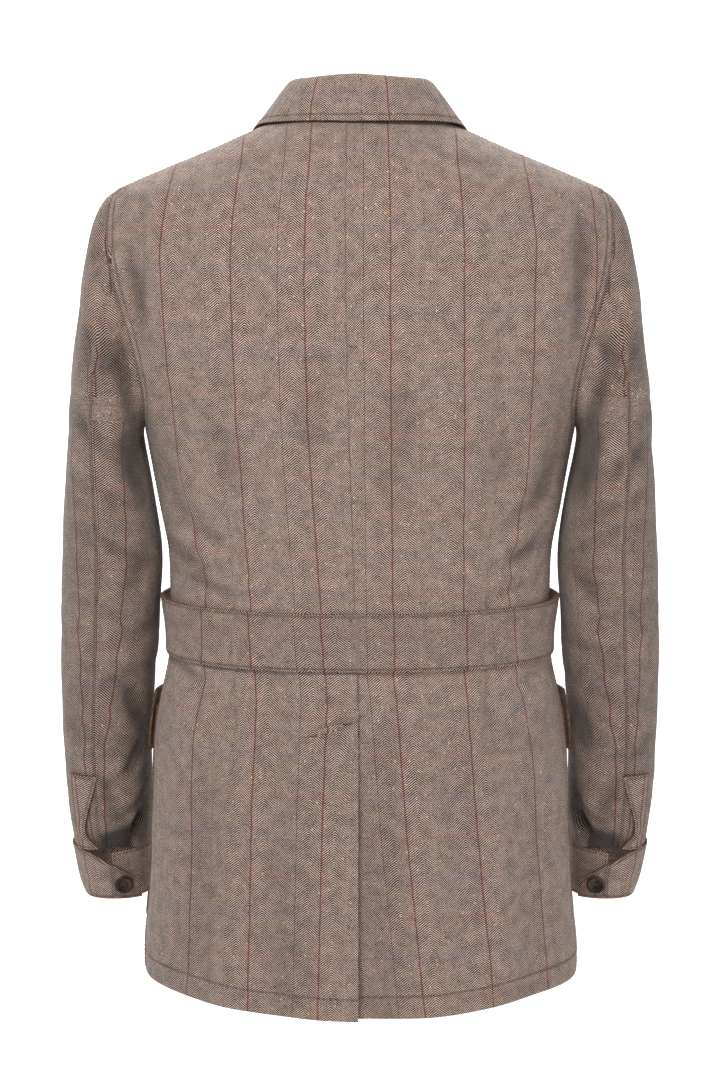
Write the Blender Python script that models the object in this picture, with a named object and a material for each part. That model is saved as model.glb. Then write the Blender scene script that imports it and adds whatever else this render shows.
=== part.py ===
"""Safari jacket in herringbone tweed, in its worn, hollow form.

Lengths are in millimetres and are turned into metres where a mesh is made.
+Z is up, the front of the jacket faces -Y and its left side is at +X.
The origin lies between the two shoulder seams, at the base of the neck.

The body is a stack of superellipse sections. Angle 0 is the left side,
90 is the centre back and -90 the centre front. Panels, belt, pockets, lapels
and buttons all take their points from that one surface, moved outwards.
"""

import math
from collections import namedtuple

import bmesh
import bpy
from mathutils import Matrix, Vector

MM = 0.001

# --- Driving dimensions ------------------------------------------------------
CLOTH = 2.0            # thickness of the tweed
DOUBLE_CLOTH = 3.0     # thickness of the belt, two layers pressed together
SEAM_GAP = 0.3         # between pieces that meet edge to edge
LAY_GAP = 0.5          # between a piece and the cloth that it lies on
POCKET_GAP = 0.8       # under the pockets, which bag a little
ROUNDNESS = 2.3        # superellipse power of the body sections

NECK_Z = 12.0          # neck point, where collar and shoulder seam meet
NECK_HALF = 68.0
SHOULDER_Z = -47.0     # shoulder point, top of the armhole
UNDERARM_Z = -250.0
HEM_Z = -742.0
HEM_RISE = 11.0        # the hem is this much higher at the sides
WAIST_TOP_Z = -397.0   # upper and lower edge of the belt
WAIST_BOTTOM_Z = -446.0
VENT_TOP_Z = -482.0
VENT_UNDERLAP = 36.0   # how far the right vent edge runs under the left one
VENT_STEP = 3.2        # depth between the two layers of the vent
BREAK_Z = -205.0       # where the lapel's roll line reaches the centre front
LAP_HALF = 20.0        # each front passes the centre front by this much
LAP_STEP = 1.4         # left front lies this far out, right front as far in

FRONT_BUTTON_RADIUS = 10.0
SMALL_BUTTON_RADIUS = 8.5
BUTTON_HEIGHT = 3.6
BUTTON_SIDES = 12

Look = namedtuple("Look", "colour roughness")
TWEED = Look((0.205, 0.135, 0.098), 0.92)
HORN = Look((0.028, 0.020, 0.016), 0.35)

# --- Body sections -----------------------------------------------------------
Section = namedtuple("Section", "z half_width back_depth front_depth")
BODY_SECTIONS = [
    Section(20.0, 48.0, 52.0, 36.0),
    Section(12.0, 68.0, 62.0, 45.0),
    Section(2.7, 91.1, 75.0, 55.0),
    Section(-14.0, 127.5, 87.0, 66.0),
    Section(-36.0, 183.5, 97.0, 77.0),
    Section(-47.0, 207.0, 101.0, 82.0),
    Section(-51.0, 212.0, 102.5, 84.0),
    Section(-62.0, 220.0, 105.5, 89.0),
    Section(-82.0, 229.5, 110.0, 98.0),
    Section(-105.0, 233.8, 114.0, 107.0),
    Section(-131.0, 230.5, 117.5, 116.0),
    Section(-158.0, 222.0, 120.0, 122.0),
    Section(-184.0, 212.5, 121.0, 126.5),
    Section(-209.0, 202.5, 121.0, 129.0),
    Section(-231.0, 193.0, 120.5, 130.0),
    Section(-250.0, 186.0, 119.5, 130.0),
    Section(-280.0, 180.8, 117.0, 129.0),
    Section(-313.0, 174.8, 113.5, 126.0),
    Section(-347.0, 169.2, 110.0, 122.0),
    Section(-385.0, 165.4, 107.5, 118.5),
    Section(-420.0, 165.0, 107.0, 118.0),
    Section(-450.0, 166.8, 109.0, 120.0),
    Section(-492.0, 176.0, 113.0, 124.0),
    Section(-528.0, 181.2, 116.5, 127.0),
    Section(-598.0, 182.9, 121.0, 130.0),
    Section(-661.0, 186.1, 124.5, 132.5),
    Section(-712.0, 192.2, 127.0, 134.0),
    Section(-742.0, 191.0, 128.0, 134.5),
    Section(-760.0, 188.0, 128.5, 134.5),
]

# Armhole: at each height, how far round the body the seam lies.
ArmholePoint = namedtuple("ArmholePoint", "z angle")
ARMHOLE = [
    ArmholePoint(-47.0, 0.0),
    ArmholePoint(-51.0, 9.0),
    ArmholePoint(-62.0, 17.0),
    ArmholePoint(-82.0, 23.0),
    ArmholePoint(-105.0, 27.0),
    ArmholePoint(-131.0, 28.5),
    ArmholePoint(-158.0, 29.0),
    ArmholePoint(-184.0, 28.5),
    ArmholePoint(-209.0, 26.0),
    ArmholePoint(-231.0, 20.0),
    ArmholePoint(-245.0, 11.0),
    ArmholePoint(-250.0, 0.0),
]

SHOULDER_ROWS = [12.0, 6.0, -3.0, -14.0, -25.0, -36.0]
SIDE_ROWS = [-268.0, -290.0, -313.0, -336.0, -356.0, -377.0]
WAIST_ROWS = [-397.0, -413.0, -430.0, -446.0]
SKIRT_ROWS = [-460.0, -474.0, -488.0, -510.0, -540.0, -575.0, -610.0, -645.0, -680.0, -712.0, -742.0]
PANEL_ROWS = SHOULDER_ROWS + [p.z for p in ARMHOLE] + SIDE_ROWS + WAIST_ROWS + SKIRT_ROWS
FRONT_TOP_Z = 10.0     # the front starts where its neck edge has some width
BACK_COLUMNS = 9
FRONT_COLUMNS = 9

# Folds of the body: troughs (or ridges, with a negative depth) from a start
# to an end, in the elevation of the back or the front, mirrored by "sides".
Fold = namedtuple("Fold", "face sides x_start z_start x_end z_end width depth")
BODY_FOLDS = [
    Fold("back", "LR", 168.0, -352.0, 100.0, -384.0, 13.0, 5.0),
    Fold("back", "LR", 140.0, -322.0, 96.0, -352.0, 14.0, 3.0),
    Fold("back", "LR", 178.0, -40.0, 186.0, -150.0, 9.0, 3.0),
    Fold("back", "LR", 106.0, -250.0, 106.0, -380.0, 8.0, 1.8),
    Fold("back", "LR", 106.0, -455.0, 106.5, -511.0, 8.0, 2.6),
    Fold("back", "L", 46.0, -497.0, 8.0, -485.0, 7.0, 2.6),
    Fold("back", "L", 30.0, -480.0, 8.0, -473.0, 6.0, 1.6),
    Fold("back", "LR", 45.0, -560.0, 52.0, -740.0, 22.0, -2.4),
    Fold("back", "LR", 120.0, -560.0, 130.0, -740.0, 24.0, -2.2),
    Fold("front", "LR", 165.0, -350.0, 95.0, -386.0, 13.0, 4.0),
    Fold("front", "LR", 70.0, -270.0, 62.0, -380.0, 12.0, 2.4),
]

# --- Collar and lapels -------------------------------------------------------
# Along the collar: 0 is the centre back, 1 its front end on the roll line.
CollarStation = namedtuple("CollarStation", "along height lean")
COLLAR_STAND = [
    CollarStation(0.00, 34.5, 3.0),
    CollarStation(0.25, 30.8, 7.0),
    CollarStation(0.40, 28.0, 8.0),
    CollarStation(0.50, 24.5, 7.5),
    CollarStation(0.70, 19.0, 7.0),
    CollarStation(0.85, 12.0, 4.0),
    CollarStation(1.00, 4.0, 0.0),
]
COLLAR_SHOULDER = 0.52     # along the collar, where it crosses the shoulder
COLLAR_END_Z = -36.0       # the collar's front end, on the roll line
STAND_END = 0.80           # the stand tapers out here
CollarEdge = namedtuple("CollarEdge", "along face x z")
COLLAR_EDGE = [
    CollarEdge(0.00, "back", 0.0, 7.0),
    CollarEdge(0.14, "back", 25.0, 7.3),
    CollarEdge(0.28, "back", 49.0, 7.2),
    CollarEdge(0.41, "back", 73.0, 6.2),
    CollarEdge(0.52, "back", 87.3, 4.3),
    CollarEdge(0.63, "front", 93.0, -4.0),
    CollarEdge(0.75, "front", 96.0, -17.0),
    CollarEdge(0.88, "front", 95.0, -33.0),
    CollarEdge(1.00, "front", 90.0, -50.0),
]
COLLAR_COLUMNS = 28
COLLAR_EDGE_OUT = 3.6      # collar edge above the shoulder cloth
COLLAR_ROLL = 8.0          # how far the fold bulges outwards at the back

LapelStation = namedtuple("LapelStation", "along x z")
LAPEL_EDGE = [
    LapelStation(0.00, 108.0, -77.0),
    LapelStation(0.22, 97.0, -104.0),
    LapelStation(0.45, 74.0, -138.0),
    LapelStation(0.70, 42.0, -174.0),
    LapelStation(1.00, 3.5, -203.0),
]
LAPEL_TOP_Z = -38.0
GORGE_DIP = 4.0            # how far the notch side drops below the collar end

# --- Sleeves -----------------------------------------------------------------
SleeveSection = namedtuple("SleeveSection", "z outer inner centre_y half_depth")
SLEEVE_SECTIONS = [
    SleeveSection(-262.0, 252.7, 186.8, 2.0, 74.0),
    SleeveSection(-297.0, 255.5, 180.2, 1.0, 68.0),
    SleeveSection(-333.0, 257.7, 173.8, -1.0, 62.5),
    SleeveSection(-369.0, 260.0, 170.8, -5.0, 58.5),
    SleeveSection(-400.0, 261.6, 174.4, -10.0, 56.0),
    SleeveSection(-442.0, 263.4, 176.5, -20.0, 54.5),
    SleeveSection(-481.0, 265.0, 181.5, -33.0, 54.0),
    SleeveSection(-520.0, 266.4, 186.0, -45.0, 53.0),
    SleeveSection(-559.0, 266.4, 187.5, -57.0, 52.0),
    SleeveSection(-590.0, 265.0, 187.0, -66.0, 51.0),
    SleeveSection(-615.0, 263.4, 188.5, -73.0, 49.5),
    SleeveSection(-636.0, 261.0, 189.5, -79.0, 47.0),
]
CUFF_SECTIONS = [
    SleeveSection(-636.4, 261.0, 189.2, -79.0, 47.2),
    SleeveSection(-660.0, 257.6, 188.8, -83.0, 46.5),
    SleeveSection(-677.0, 254.4, 189.4, -86.0, 45.5),
    SleeveSection(-685.5, 249.6, 191.4, -87.0, 43.0),
]
CAP_STEPS = [0.0, 0.13, 0.3, 0.48, 0.66, 0.84]   # share of the way down the sleeve head
SleeveHead = namedtuple("SleeveHead", "z outer")
SLEEVE_HEAD = [
    SleeveHead(-47.0, 207.0),
    SleeveHead(-56.5, 222.0),
    SleeveHead(-73.0, 228.5),
    SleeveHead(-90.5, 231.3),
    SleeveHead(-124.6, 236.8),
    SleeveHead(-176.0, 244.5),
    SleeveHead(-228.0, 249.6),
    SleeveHead(-262.0, 252.7),
]
ARM_HALF = len(ARMHOLE) - 1          # columns from the top of the sleeve to the underarm
ARM_COLUMNS = 2 * ARM_HALF
HINDARM_COLUMN = 5                   # back seam of the sleeve
FOREARM_COLUMN = 15                  # front seam of the sleeve
# Folds of the sleeve: bulges (or hollows) at an angle round it and a height.
SleeveFold = namedtuple("SleeveFold", "angle z half_angle half_height slant rise")
SLEEVE_FOLDS = [
    SleeveFold(150.0, -268.0, 26.0, 15.0, 0.35, -5.0),
    SleeveFold(112.0, -292.0, 26.0, 17.0, 0.45, -4.0),
    SleeveFold(118.0, -334.0, 30.0, 16.0, 0.45, 2.4),
    SleeveFold(135.0, -392.0, 30.0, 15.0, 0.30, -3.0),
    SleeveFold(100.0, -425.0, 34.0, 17.0, 0.30, 2.2),
    SleeveFold(270.0, -405.0, 34.0, 15.0, 0.0, -4.0),
    SleeveFold(285.0, -372.0, 34.0, 15.0, 0.0, 2.4),
    SleeveFold(120.0, -520.0, 26.0, 26.0, -0.5, -3.0),
    SleeveFold(108.0, -596.0, 34.0, 24.0, 0.0, 6.0),
    SleeveFold(96.0, -636.0, 22.0, 10.0, 0.0, -5.0),
    SleeveFold(60.0, -330.0, 22.0, 40.0, 0.2, 1.6),
    SleeveFold(20.0, -470.0, 24.0, 45.0, 0.2, 1.8),
]
PlacketStation = namedtuple("PlacketStation", "z back_angle")
PLACKET = [
    PlacketStation(-561.0, 84.0),
    PlacketStation(-580.0, 77.0),
    PlacketStation(-600.0, 68.0),
    PlacketStation(-616.0, 61.0),
    PlacketStation(-626.0, 66.0),
    PlacketStation(-635.0, 80.0),
]
PLACKET_OUTER_ANGLE = 46.0
PLACKET_GAP = 1.1          # under the placket, whose cloth is folded double at its edges
CUFF_START = -268.0        # angle where the under end of the cuff begins
CUFF_END = 134.0           # angle where the buttoned end stops
CUFF_COLUMNS = 22
CUFF_STEP = 3.0            # depth between the cuff's two ends
CuffTop = namedtuple("CuffTop", "angle drop")
CUFF_TOP = [
    CuffTop(-268.0, 3.0),
    CuffTop(-240.0, 0.0),
    CuffTop(55.0, 0.0),
    CuffTop(78.0, 8.0),
    CuffTop(100.0, 17.0),
    CuffTop(120.0, 26.0),
    CuffTop(134.0, 33.0),
]
CUFF_BUTTON_ANGLE = 104.0
CUFF_BUTTON_Z = -668.0

# --- Pockets, buttons and belt -----------------------------------------------
Patch = namedtuple("Patch", "name angle_side angle_centre z_top z_bottom corner out")
PATCHES = [
    Patch("lower_pocket", -5.2, -69.0, -500.0, -694.0, 12.0, 0.0),
    Patch("chest_pocket", -39.0, -67.0, -176.0, -300.0, 11.0, 0.0),
    Patch("lower_flap", -4.4, -70.5, -486.0, -541.0, 9.0, 1.0),
    Patch("chest_flap", -37.5, -68.5, -166.0, -205.0, 9.0, 1.0),
]
PATCH_PUFF = 1.5           # how far a pocket or flap swells in its middle
FLAP_BUTTON_UP = 14.0      # flap button above the flap's lower edge
FRONT_BUTTONS_Z = [-262.0, -350.0, -505.0, -590.0]
BELT_BUTTON_X = 42.0
BELT_END_X = 66.0          # the left belt end passes the centre front by this
BELT_RIGHT_END_X = 24.0    # the right end stops beside the left front's edge
BELT_LIFT = 5.5            # how far the belt's upper edge stands off at the sides
BELT_OVER = 4.6            # extra height of the left end, over the front edges
BELT_LEFT_COLUMNS = 14


# --- Small helpers -----------------------------------------------------------
def smoothstep(low, high, value):
    """0 below low, 1 above high, with soft ends."""
    share = min(max((value - low) / (high - low), 0.0), 1.0)
    return share * share * (3.0 - 2.0 * share)


def read_table(rows, key, column, at):
    """Smooth, overshoot-free curve through one column of a table."""
    points = sorted((getattr(row, key), getattr(row, column)) for row in rows)
    if at <= points[0][0]:
        return points[0][1]
    if at >= points[-1][0]:
        return points[-1][1]
    index = max(i for i in range(len(points) - 1) if points[i][0] <= at)
    slopes = [(points[i + 1][1] - points[i][1]) / (points[i + 1][0] - points[i][0])
              for i in range(len(points) - 1)]

    def tangent(i):
        if i == 0 or i == len(points) - 1:
            return slopes[min(i, len(slopes) - 1)]
        before, after = slopes[i - 1], slopes[i]
        if before * after <= 0.0:
            return 0.0
        return 2.0 * before * after / (before + after)

    span = points[index + 1][0] - points[index][0]
    t = (at - points[index][0]) / span
    start, end = points[index][1], points[index + 1][1]
    return ((2 * t ** 3 - 3 * t ** 2 + 1) * start + (t ** 3 - 2 * t ** 2 + t) * span * tangent(index)
            + (-2 * t ** 3 + 3 * t ** 2) * end + (t ** 3 - t ** 2) * span * tangent(index + 1))


def signed_power(value, power):
    return math.copysign(abs(value) ** power, value)


def mirrored(point):
    return Vector((-point.x, point.y, point.z))


# --- The body surface --------------------------------------------------------
def plain_body(angle, z):
    """Point of the smooth body at an angle round it, in degrees, and a height."""
    turn = math.radians(angle)
    half_width = read_table(BODY_SECTIONS, "z", "half_width", z)
    depth_column = "back_depth" if angle >= 0.0 else "front_depth"
    depth = read_table(BODY_SECTIONS, "z", depth_column, z)
    power = 2.0 / ROUNDNESS
    return Vector((half_width * signed_power(math.cos(turn), power),
                   depth * signed_power(math.sin(turn), power), z))


def surface_normal(surface, angle, z):
    """Outward unit normal of a body surface, by small steps both ways."""
    step_angle, step_z = 0.6, 0.8
    across = surface(angle + step_angle, z) - surface(angle - step_angle, z)
    down = surface(angle, z - step_z) - surface(angle, z + step_z)
    normal = down.cross(across).normalized()
    here = surface(angle, z)
    if normal.dot(Vector((here.x, here.y, 0.0))) < 0.0:
        normal.negate()
    return normal


def angle_at(face, x, z):
    """Angle at which the body has a given distance x from its middle."""
    half_width = read_table(BODY_SECTIONS, "z", "half_width", z)
    share = min(max(x / half_width, -1.0), 1.0)
    angle = math.degrees(math.acos(signed_power(share, ROUNDNESS / 2.0)))
    return angle if face == "back" else -angle


def fold_depth(face, side, x, z):
    """How far the folds press the cloth in at a place in elevation."""
    total = 0.0
    for fold in BODY_FOLDS:
        if fold.face != face or side not in fold.sides:
            continue
        run = Vector((fold.x_end - fold.x_start, fold.z_end - fold.z_start))
        place = Vector((x - fold.x_start, z - fold.z_start))
        share = min(max(place.dot(run) / run.length_squared, 0.0), 1.0)
        distance = (place - share * run).length
        ends = 0.35 + 0.65 * math.sin(math.pi * min(max(share, 0.0), 1.0))
        total += fold.depth * ends * math.exp(-(distance / fold.width) ** 2)
    return total


def vent_offset(side, x, z):
    """Left vent edge lies a little out, right one a little in, near the centre back."""
    near_vent = smoothstep(VENT_TOP_Z + 40.0, VENT_TOP_Z + 8.0, z)
    beside = 1.0 - smoothstep(30.0, 58.0, abs(x))
    return (0.5 if side == "L" else -0.5) * VENT_STEP * near_vent * beside


def lap_offset(side, x, z):
    """Left front lies over the right one where the two overlap."""
    below_neck = smoothstep(-120.0, -190.0, z)
    beside = 1.0 - smoothstep(24.0, 48.0, x)
    return (1.0 if side == "L" else -1.0) * LAP_STEP * below_neck * beside


def body_surface(side):
    """The folded body surface of one side, as a function of angle and height."""
    def surface(angle, z):
        point = plain_body(angle, z)
        normal = surface_normal(plain_body, angle, z)
        past_middle = {"L": "R", "R": "L"}[side]
        fold_side = side if point.x >= 0.0 else past_middle
        if angle >= 0.0:
            move = vent_offset(side, point.x, z) - fold_depth("back", fold_side, abs(point.x), z)
        else:
            move = lap_offset(side, point.x, z) - fold_depth("front", fold_side, abs(point.x), z)
        return point + move * normal
    return surface


def body_point(side, angle, z, out=0.0):
    """Point and outward normal on one side's folded surface, moved out."""
    surface = body_surface(side)
    normal = surface_normal(surface, angle, z)
    return surface(angle, z) + out * normal, normal


def armhole_angle(z):
    """Angle of the armhole seam at a height, 0 above and below it."""
    if z >= SHOULDER_Z or z <= UNDERARM_Z:
        return 0.0
    return read_table(ARMHOLE, "z", "angle", z)


def roll_line_x(z):
    """Distance of the front edge from the middle: roll line, then lap."""
    along_roll = NECK_HALF * (z - BREAK_Z) / (NECK_Z - BREAK_Z)
    return max(along_roll, -LAP_HALF)


# --- Making meshes -----------------------------------------------------------
def own_material(name, look):
    material = bpy.data.materials.new(name)
    material.use_nodes = True
    shader = material.node_tree.nodes["Principled BSDF"]
    shader.inputs["Base Color"].default_value = (*look.colour, 1.0)
    shader.inputs["Roughness"].default_value = look.roughness
    shader.inputs["Metallic"].default_value = 0.0
    return material


def finish_object(name, builder, look, smooth_angle=50.0):
    """Turn a bmesh in millimetres into a named object in metres."""
    bmesh.ops.scale(builder, vec=(MM, MM, MM), verts=builder.verts)
    bmesh.ops.recalc_face_normals(builder, faces=builder.faces)
    if builder.calc_volume(signed=True) < 0.0:
        bmesh.ops.reverse_faces(builder, faces=builder.faces)
    mesh = bpy.data.meshes.new(name)
    builder.to_mesh(mesh)
    builder.free()
    mesh.shade_smooth()
    mesh.set_sharp_from_angle(angle=math.radians(smooth_angle))
    mesh.materials.append(own_material(name, look))
    piece = bpy.data.objects.new(name, mesh)
    bpy.context.scene.collection.objects.link(piece)


def cloth_wall(name, points, normals, thickness=CLOTH):
    """Closed wall: outer side through rows of points, inner side a thickness in."""
    rows, columns = len(points), len(points[0])
    builder = bmesh.new()
    outer = [[builder.verts.new(point) for point in row] for row in points]
    inner = [[builder.verts.new(point - thickness * normal) for point, normal in zip(*pair)]
             for pair in zip(points, normals)]
    for i in range(rows - 1):
        for j in range(columns - 1):
            for side in (outer, inner):
                builder.faces.new((side[i][j], side[i][j + 1], side[i + 1][j + 1], side[i + 1][j]))
    rim = ([(0, j) for j in range(columns)] + [(i, columns - 1) for i in range(1, rows)]
           + [(rows - 1, j) for j in range(columns - 2, -1, -1)] + [(i, 0) for i in range(rows - 2, 0, -1)])
    for (i, j), (k, m) in zip(rim, rim[1:] + rim[:1]):
        builder.faces.new((outer[i][j], outer[k][m], inner[k][m], inner[i][j]))
    finish_object(name, builder, TWEED)


def pull_in_columns(points, first, last):
    """Move the first and last column in by given amounts, to leave seam gaps."""
    for row in points:
        start = (row[1] - row[0]).normalized() * first
        end = (row[-2] - row[-1]).normalized() * last
        row[0] = row[0] + start
        row[-1] = row[-1] + end


def place_side(side, points, normals):
    """The right side is the left side's mirror image."""
    if side == "L":
        return points, normals
    return ([[mirrored(p) for p in row] for row in points],
            [[mirrored(n) for n in row] for row in normals])


def side_name(side):
    return "left" if side == "L" else "right"


# --- Panels ------------------------------------------------------------------
def hem_lift(angle, z):
    """Height of a panel row: the lowest rows rise towards the side seams."""
    beside = 1.0 - smoothstep(30.0, 88.0, abs(angle))
    return z + HEM_RISE * beside * smoothstep(HEM_Z + 90.0, HEM_Z, z)


def back_panel(side):
    """Half of the back, from side seam, armhole and shoulder seam to the centre."""
    points, normals = [], []
    for z in PANEL_ROWS:
        start = armhole_angle(z)
        end = 90.0
        if side == "R" and z < VENT_TOP_Z:
            end = angle_at("back", -VENT_UNDERLAP, z)
        angles = [start + (end - start) * j / BACK_COLUMNS for j in range(BACK_COLUMNS + 1)]
        row = [body_point(side, angle, hem_lift(angle, z)) for angle in angles]
        points.append([point for point, normal in row])
        normals.append([normal for point, normal in row])
    pull_in_columns(points, SEAM_GAP / 2, SEAM_GAP / 2)
    cloth_wall("back_" + side_name(side), *place_side(side, points, normals))


def front_angles(z):
    """Angles of a front's columns at a height, from its side to its edge."""
    start = -armhole_angle(z)
    end = angle_at("front", roll_line_x(z), z)
    return [start + (end - start) * j / FRONT_COLUMNS for j in range(FRONT_COLUMNS + 1)]


def front_panel(side):
    """One front, from the side to the roll line and the buttoning edge."""
    points, normals = [], []
    for z in [FRONT_TOP_Z] + PANEL_ROWS[1:]:
        row = [body_point(side, angle, hem_lift(angle, z)) for angle in front_angles(z)]
        points.append([point for point, normal in row])
        normals.append([normal for point, normal in row])
    pull_in_columns(points, SEAM_GAP / 2, 0.0)
    cloth_wall("front_" + side_name(side), *place_side(side, points, normals))


# --- Sleeves -----------------------------------------------------------------
def arm_angle(column):
    """Angle round the sleeve: 0 outer, 90 back, 180 inner, 270 front."""
    return 180.0 * column / ARM_HALF


def sleeve_ring(sections, z, angle, out=0.0):
    """Point of the plain sleeve at a height and an angle round it."""
    outer = read_table(sections, "z", "outer", z)
    inner = read_table(sections, "z", "inner", z)
    centre_y = read_table(sections, "z", "centre_y", z)
    half_depth = read_table(sections, "z", "half_depth", z)
    turn = math.radians(angle)
    half_width = (outer - inner) / 2.0 + out
    power = 0.9
    return Vector(((outer + inner) / 2.0 + half_width * signed_power(math.cos(turn), power),
                   centre_y + (half_depth + out) * signed_power(math.sin(turn), power), z))


def armhole_vertex(column):
    """Seam point on the body, with its normal, for one column of the sleeve."""
    back = column <= ARM_HALF
    station = ARMHOLE[column if back else ARM_COLUMNS - column]
    angle = station.angle if back else -station.angle
    return body_point("L", angle, station.z)


def sleeve_head_point(column, share):
    """Between the armhole and the first full ring, bulging over the shoulder."""
    seam, seam_normal = armhole_vertex(column)
    ring_z = SLEEVE_SECTIONS[0].z
    ring = sleeve_ring(SLEEVE_SECTIONS, ring_z, arm_angle(column))
    turn = math.radians(90.0 * share)
    point = Vector((seam.x + (ring.x - seam.x) * math.sin(turn),
                    seam.y + (ring.y - seam.y) * math.sin(turn) ** 1.4,
                    seam.z + (ring.z - seam.z) * (1.0 - math.cos(turn))))
    top_seam = armhole_vertex(0)[0]
    top_x = top_seam.x + (SLEEVE_SECTIONS[0].outer - top_seam.x) * math.sin(turn)
    top_z = top_seam.z + (ring_z - top_seam.z) * (1.0 - math.cos(turn))
    outward = max(math.cos(math.radians(arm_angle(column))), 0.0) ** 2
    point.x += outward * (read_table(SLEEVE_HEAD, "z", "outer", top_z) - top_x)
    return point


def seam_step(column, seam, seam_normal, first_ring_point):
    """Move a sleeve's seam point off the body's edge, halfway between both cloths."""
    before = armhole_vertex((column - 1) % ARM_COLUMNS)[0]
    after = armhole_vertex((column + 1) % ARM_COLUMNS)[0]
    along = (after - before).normalized()
    away = along.cross(seam_normal).normalized()
    middle = Vector((150.0, 0.0, seam.z))
    if away.dot(seam - middle) < 0.0 and abs(seam.z - UNDERARM_Z) > 1.0:
        away.negate()
    if abs(seam.z - UNDERARM_Z) <= 1.0:
        away = Vector((0.0, 0.0, 1.0))
    leave = (first_ring_point - seam).normalized()
    half_fold = math.acos(min(max(away.dot(leave), -1.0), 1.0)) / 2.0
    return SEAM_GAP * 1.3 * (away * math.cos(half_fold) + seam_normal * math.sin(half_fold))


def sleeve_fold_rise(angle, z):
    total = 0.0
    for fold in SLEEVE_FOLDS:
        turn = (angle - fold.angle + 180.0) % 360.0 - 180.0
        height = z - fold.z + fold.slant * turn
        total += fold.rise * math.exp(-(turn / fold.half_angle) ** 2 - (height / fold.half_height) ** 2)
    return total


def grid_normals(points, outward_from):
    """Outward normals of a ring-shaped grid whose columns close on themselves."""
    rows, columns = len(points), len(points[0])
    normals = []
    for i in range(rows):
        row = []
        for j in range(columns):
            across = points[i][(j + 1) % columns] - points[i][j - 1]
            down = points[min(i + 1, rows - 1)][j] - points[max(i - 1, 0)][j]
            normal = down.cross(across).normalized()
            if normal.dot(points[i][j] - outward_from(i)) < 0.0:
                normal.negate()
            row.append(normal)
        normals.append(row)
    return normals


def sleeve_grid():
    """All outer points of the left sleeve, rings from armhole to cuff, with normals."""
    columns = range(ARM_COLUMNS)
    points = []
    for share in CAP_STEPS:
        points.append([sleeve_head_point(column, share) for column in columns])
    for section in SLEEVE_SECTIONS:
        points.append([sleeve_ring(SLEEVE_SECTIONS, section.z, arm_angle(column)) for column in columns])

    def middle(i):
        return sum(points[i], Vector()) / ARM_COLUMNS

    normals = grid_normals(points, middle)
    for i, row in enumerate(points[1:], start=1):
        for column in columns:
            rise = sleeve_fold_rise(arm_angle(column), row[column].z)
            rise *= smoothstep(0.0, 2.0, float(i))
            row[column] = row[column] + rise * normals[i][column]
    for column in columns:
        seam, seam_normal = armhole_vertex(column)
        points[0][column] = seam + seam_step(column, seam, seam_normal, points[1][column])
    normals = grid_normals(points, middle)
    return points, normals


def sleeve_piece(name, side, columns):
    """One cut piece of a sleeve, between two of its columns."""
    full_points, full_normals = sleeve_grid()
    points = [[row[column % ARM_COLUMNS] for column in columns] for row in full_points]
    normals = [[row[column % ARM_COLUMNS] for column in columns] for row in full_normals]
    pull_in_columns(points, SEAM_GAP * 0.7, SEAM_GAP * 0.7)
    cloth_wall(name + "_" + side_name(side), *place_side(side, points, normals))


def sleeve_surface(angle, z, out):
    """Point and normal on the folded lower sleeve, moved out."""
    normal = ring_normal(SLEEVE_SECTIONS, z, angle)
    return sleeve_ring(SLEEVE_SECTIONS, z, angle) + (out + sleeve_fold_rise(angle, z)) * normal, normal


def ring_normal(sections, z, angle):
    step = 1.0
    across = sleeve_ring(sections, z, angle + step) - sleeve_ring(sections, z, angle - step)
    down = sleeve_ring(sections, z - step, angle) - sleeve_ring(sections, z + step, angle)
    normal = down.cross(across).normalized()
    centre = (sleeve_ring(sections, z, angle) + sleeve_ring(sections, z, angle + 180.0)) / 2.0
    if normal.dot(sleeve_ring(sections, z, angle) - centre) < 0.0:
        normal.negate()
    return normal


def sleeve_placket(side):
    """Strip that lies over the sleeve's opening, from its box stitch to the cuff."""
    points, normals = [], []
    for station in PLACKET:
        angles = [PLACKET_OUTER_ANGLE + (station.back_angle - PLACKET_OUTER_ANGLE) * j / 3 for j in range(4)]
        row = [sleeve_surface(angle, station.z, PLACKET_GAP + CLOTH) for angle in angles]
        points.append([point for point, normal in row])
        normals.append([normal for point, normal in row])
    cloth_wall("sleeve_placket_" + side_name(side), *place_side(side, points, normals))


def cuff_point(angle, share):
    """Outer point of the cuff; share 0 is its top edge and 1 its bottom edge."""
    top = CUFF_SECTIONS[0].z - read_table(CUFF_TOP, "angle", "drop", angle)
    bottom = CUFF_SECTIONS[-1].z + 3.0 * max(math.sin(math.radians(angle)), 0.0)
    z = top + (bottom - top) * share
    out = CUFF_STEP * (smoothstep(-230.0, 60.0, angle) - 0.5) + 0.6
    normal = ring_normal(CUFF_SECTIONS, z, angle)
    return sleeve_ring(CUFF_SECTIONS, z, angle) + out * normal, normal


def cuff(side):
    """Band round the wrist; its buttoned end lies over the other one at the back."""
    points, normals = [], []
    for share in (0.0, 0.4, 0.8, 1.0):
        angles = [CUFF_START + (CUFF_END - CUFF_START) * j / CUFF_COLUMNS for j in range(CUFF_COLUMNS + 1)]
        row = [cuff_point(angle, share) for angle in angles]
        points.append([point for point, normal in row])
        normals.append([normal for point, normal in row])
    cloth_wall("cuff_" + side_name(side), *place_side(side, points, normals))


# --- Collar and lapels -------------------------------------------------------
def neck_seam(along):
    """Where the collar is sewn on: round the back neck, then down the roll line."""
    if along <= COLLAR_SHOULDER:
        point, normal = body_point("L", 90.0 * (1.0 - along / COLLAR_SHOULDER), NECK_Z)
        return point
    share = (along - COLLAR_SHOULDER) / (1.0 - COLLAR_SHOULDER)
    z = FRONT_TOP_Z + (COLLAR_END_Z - FRONT_TOP_Z) * share ** 1.3
    point, normal = body_point("L", angle_at("front", roll_line_x(z), z), z)
    return point


def outwards(point):
    """Level unit direction away from the middle of the neck."""
    return Vector((point.x, point.y + 8.0, 0.0)).normalized()


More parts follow.
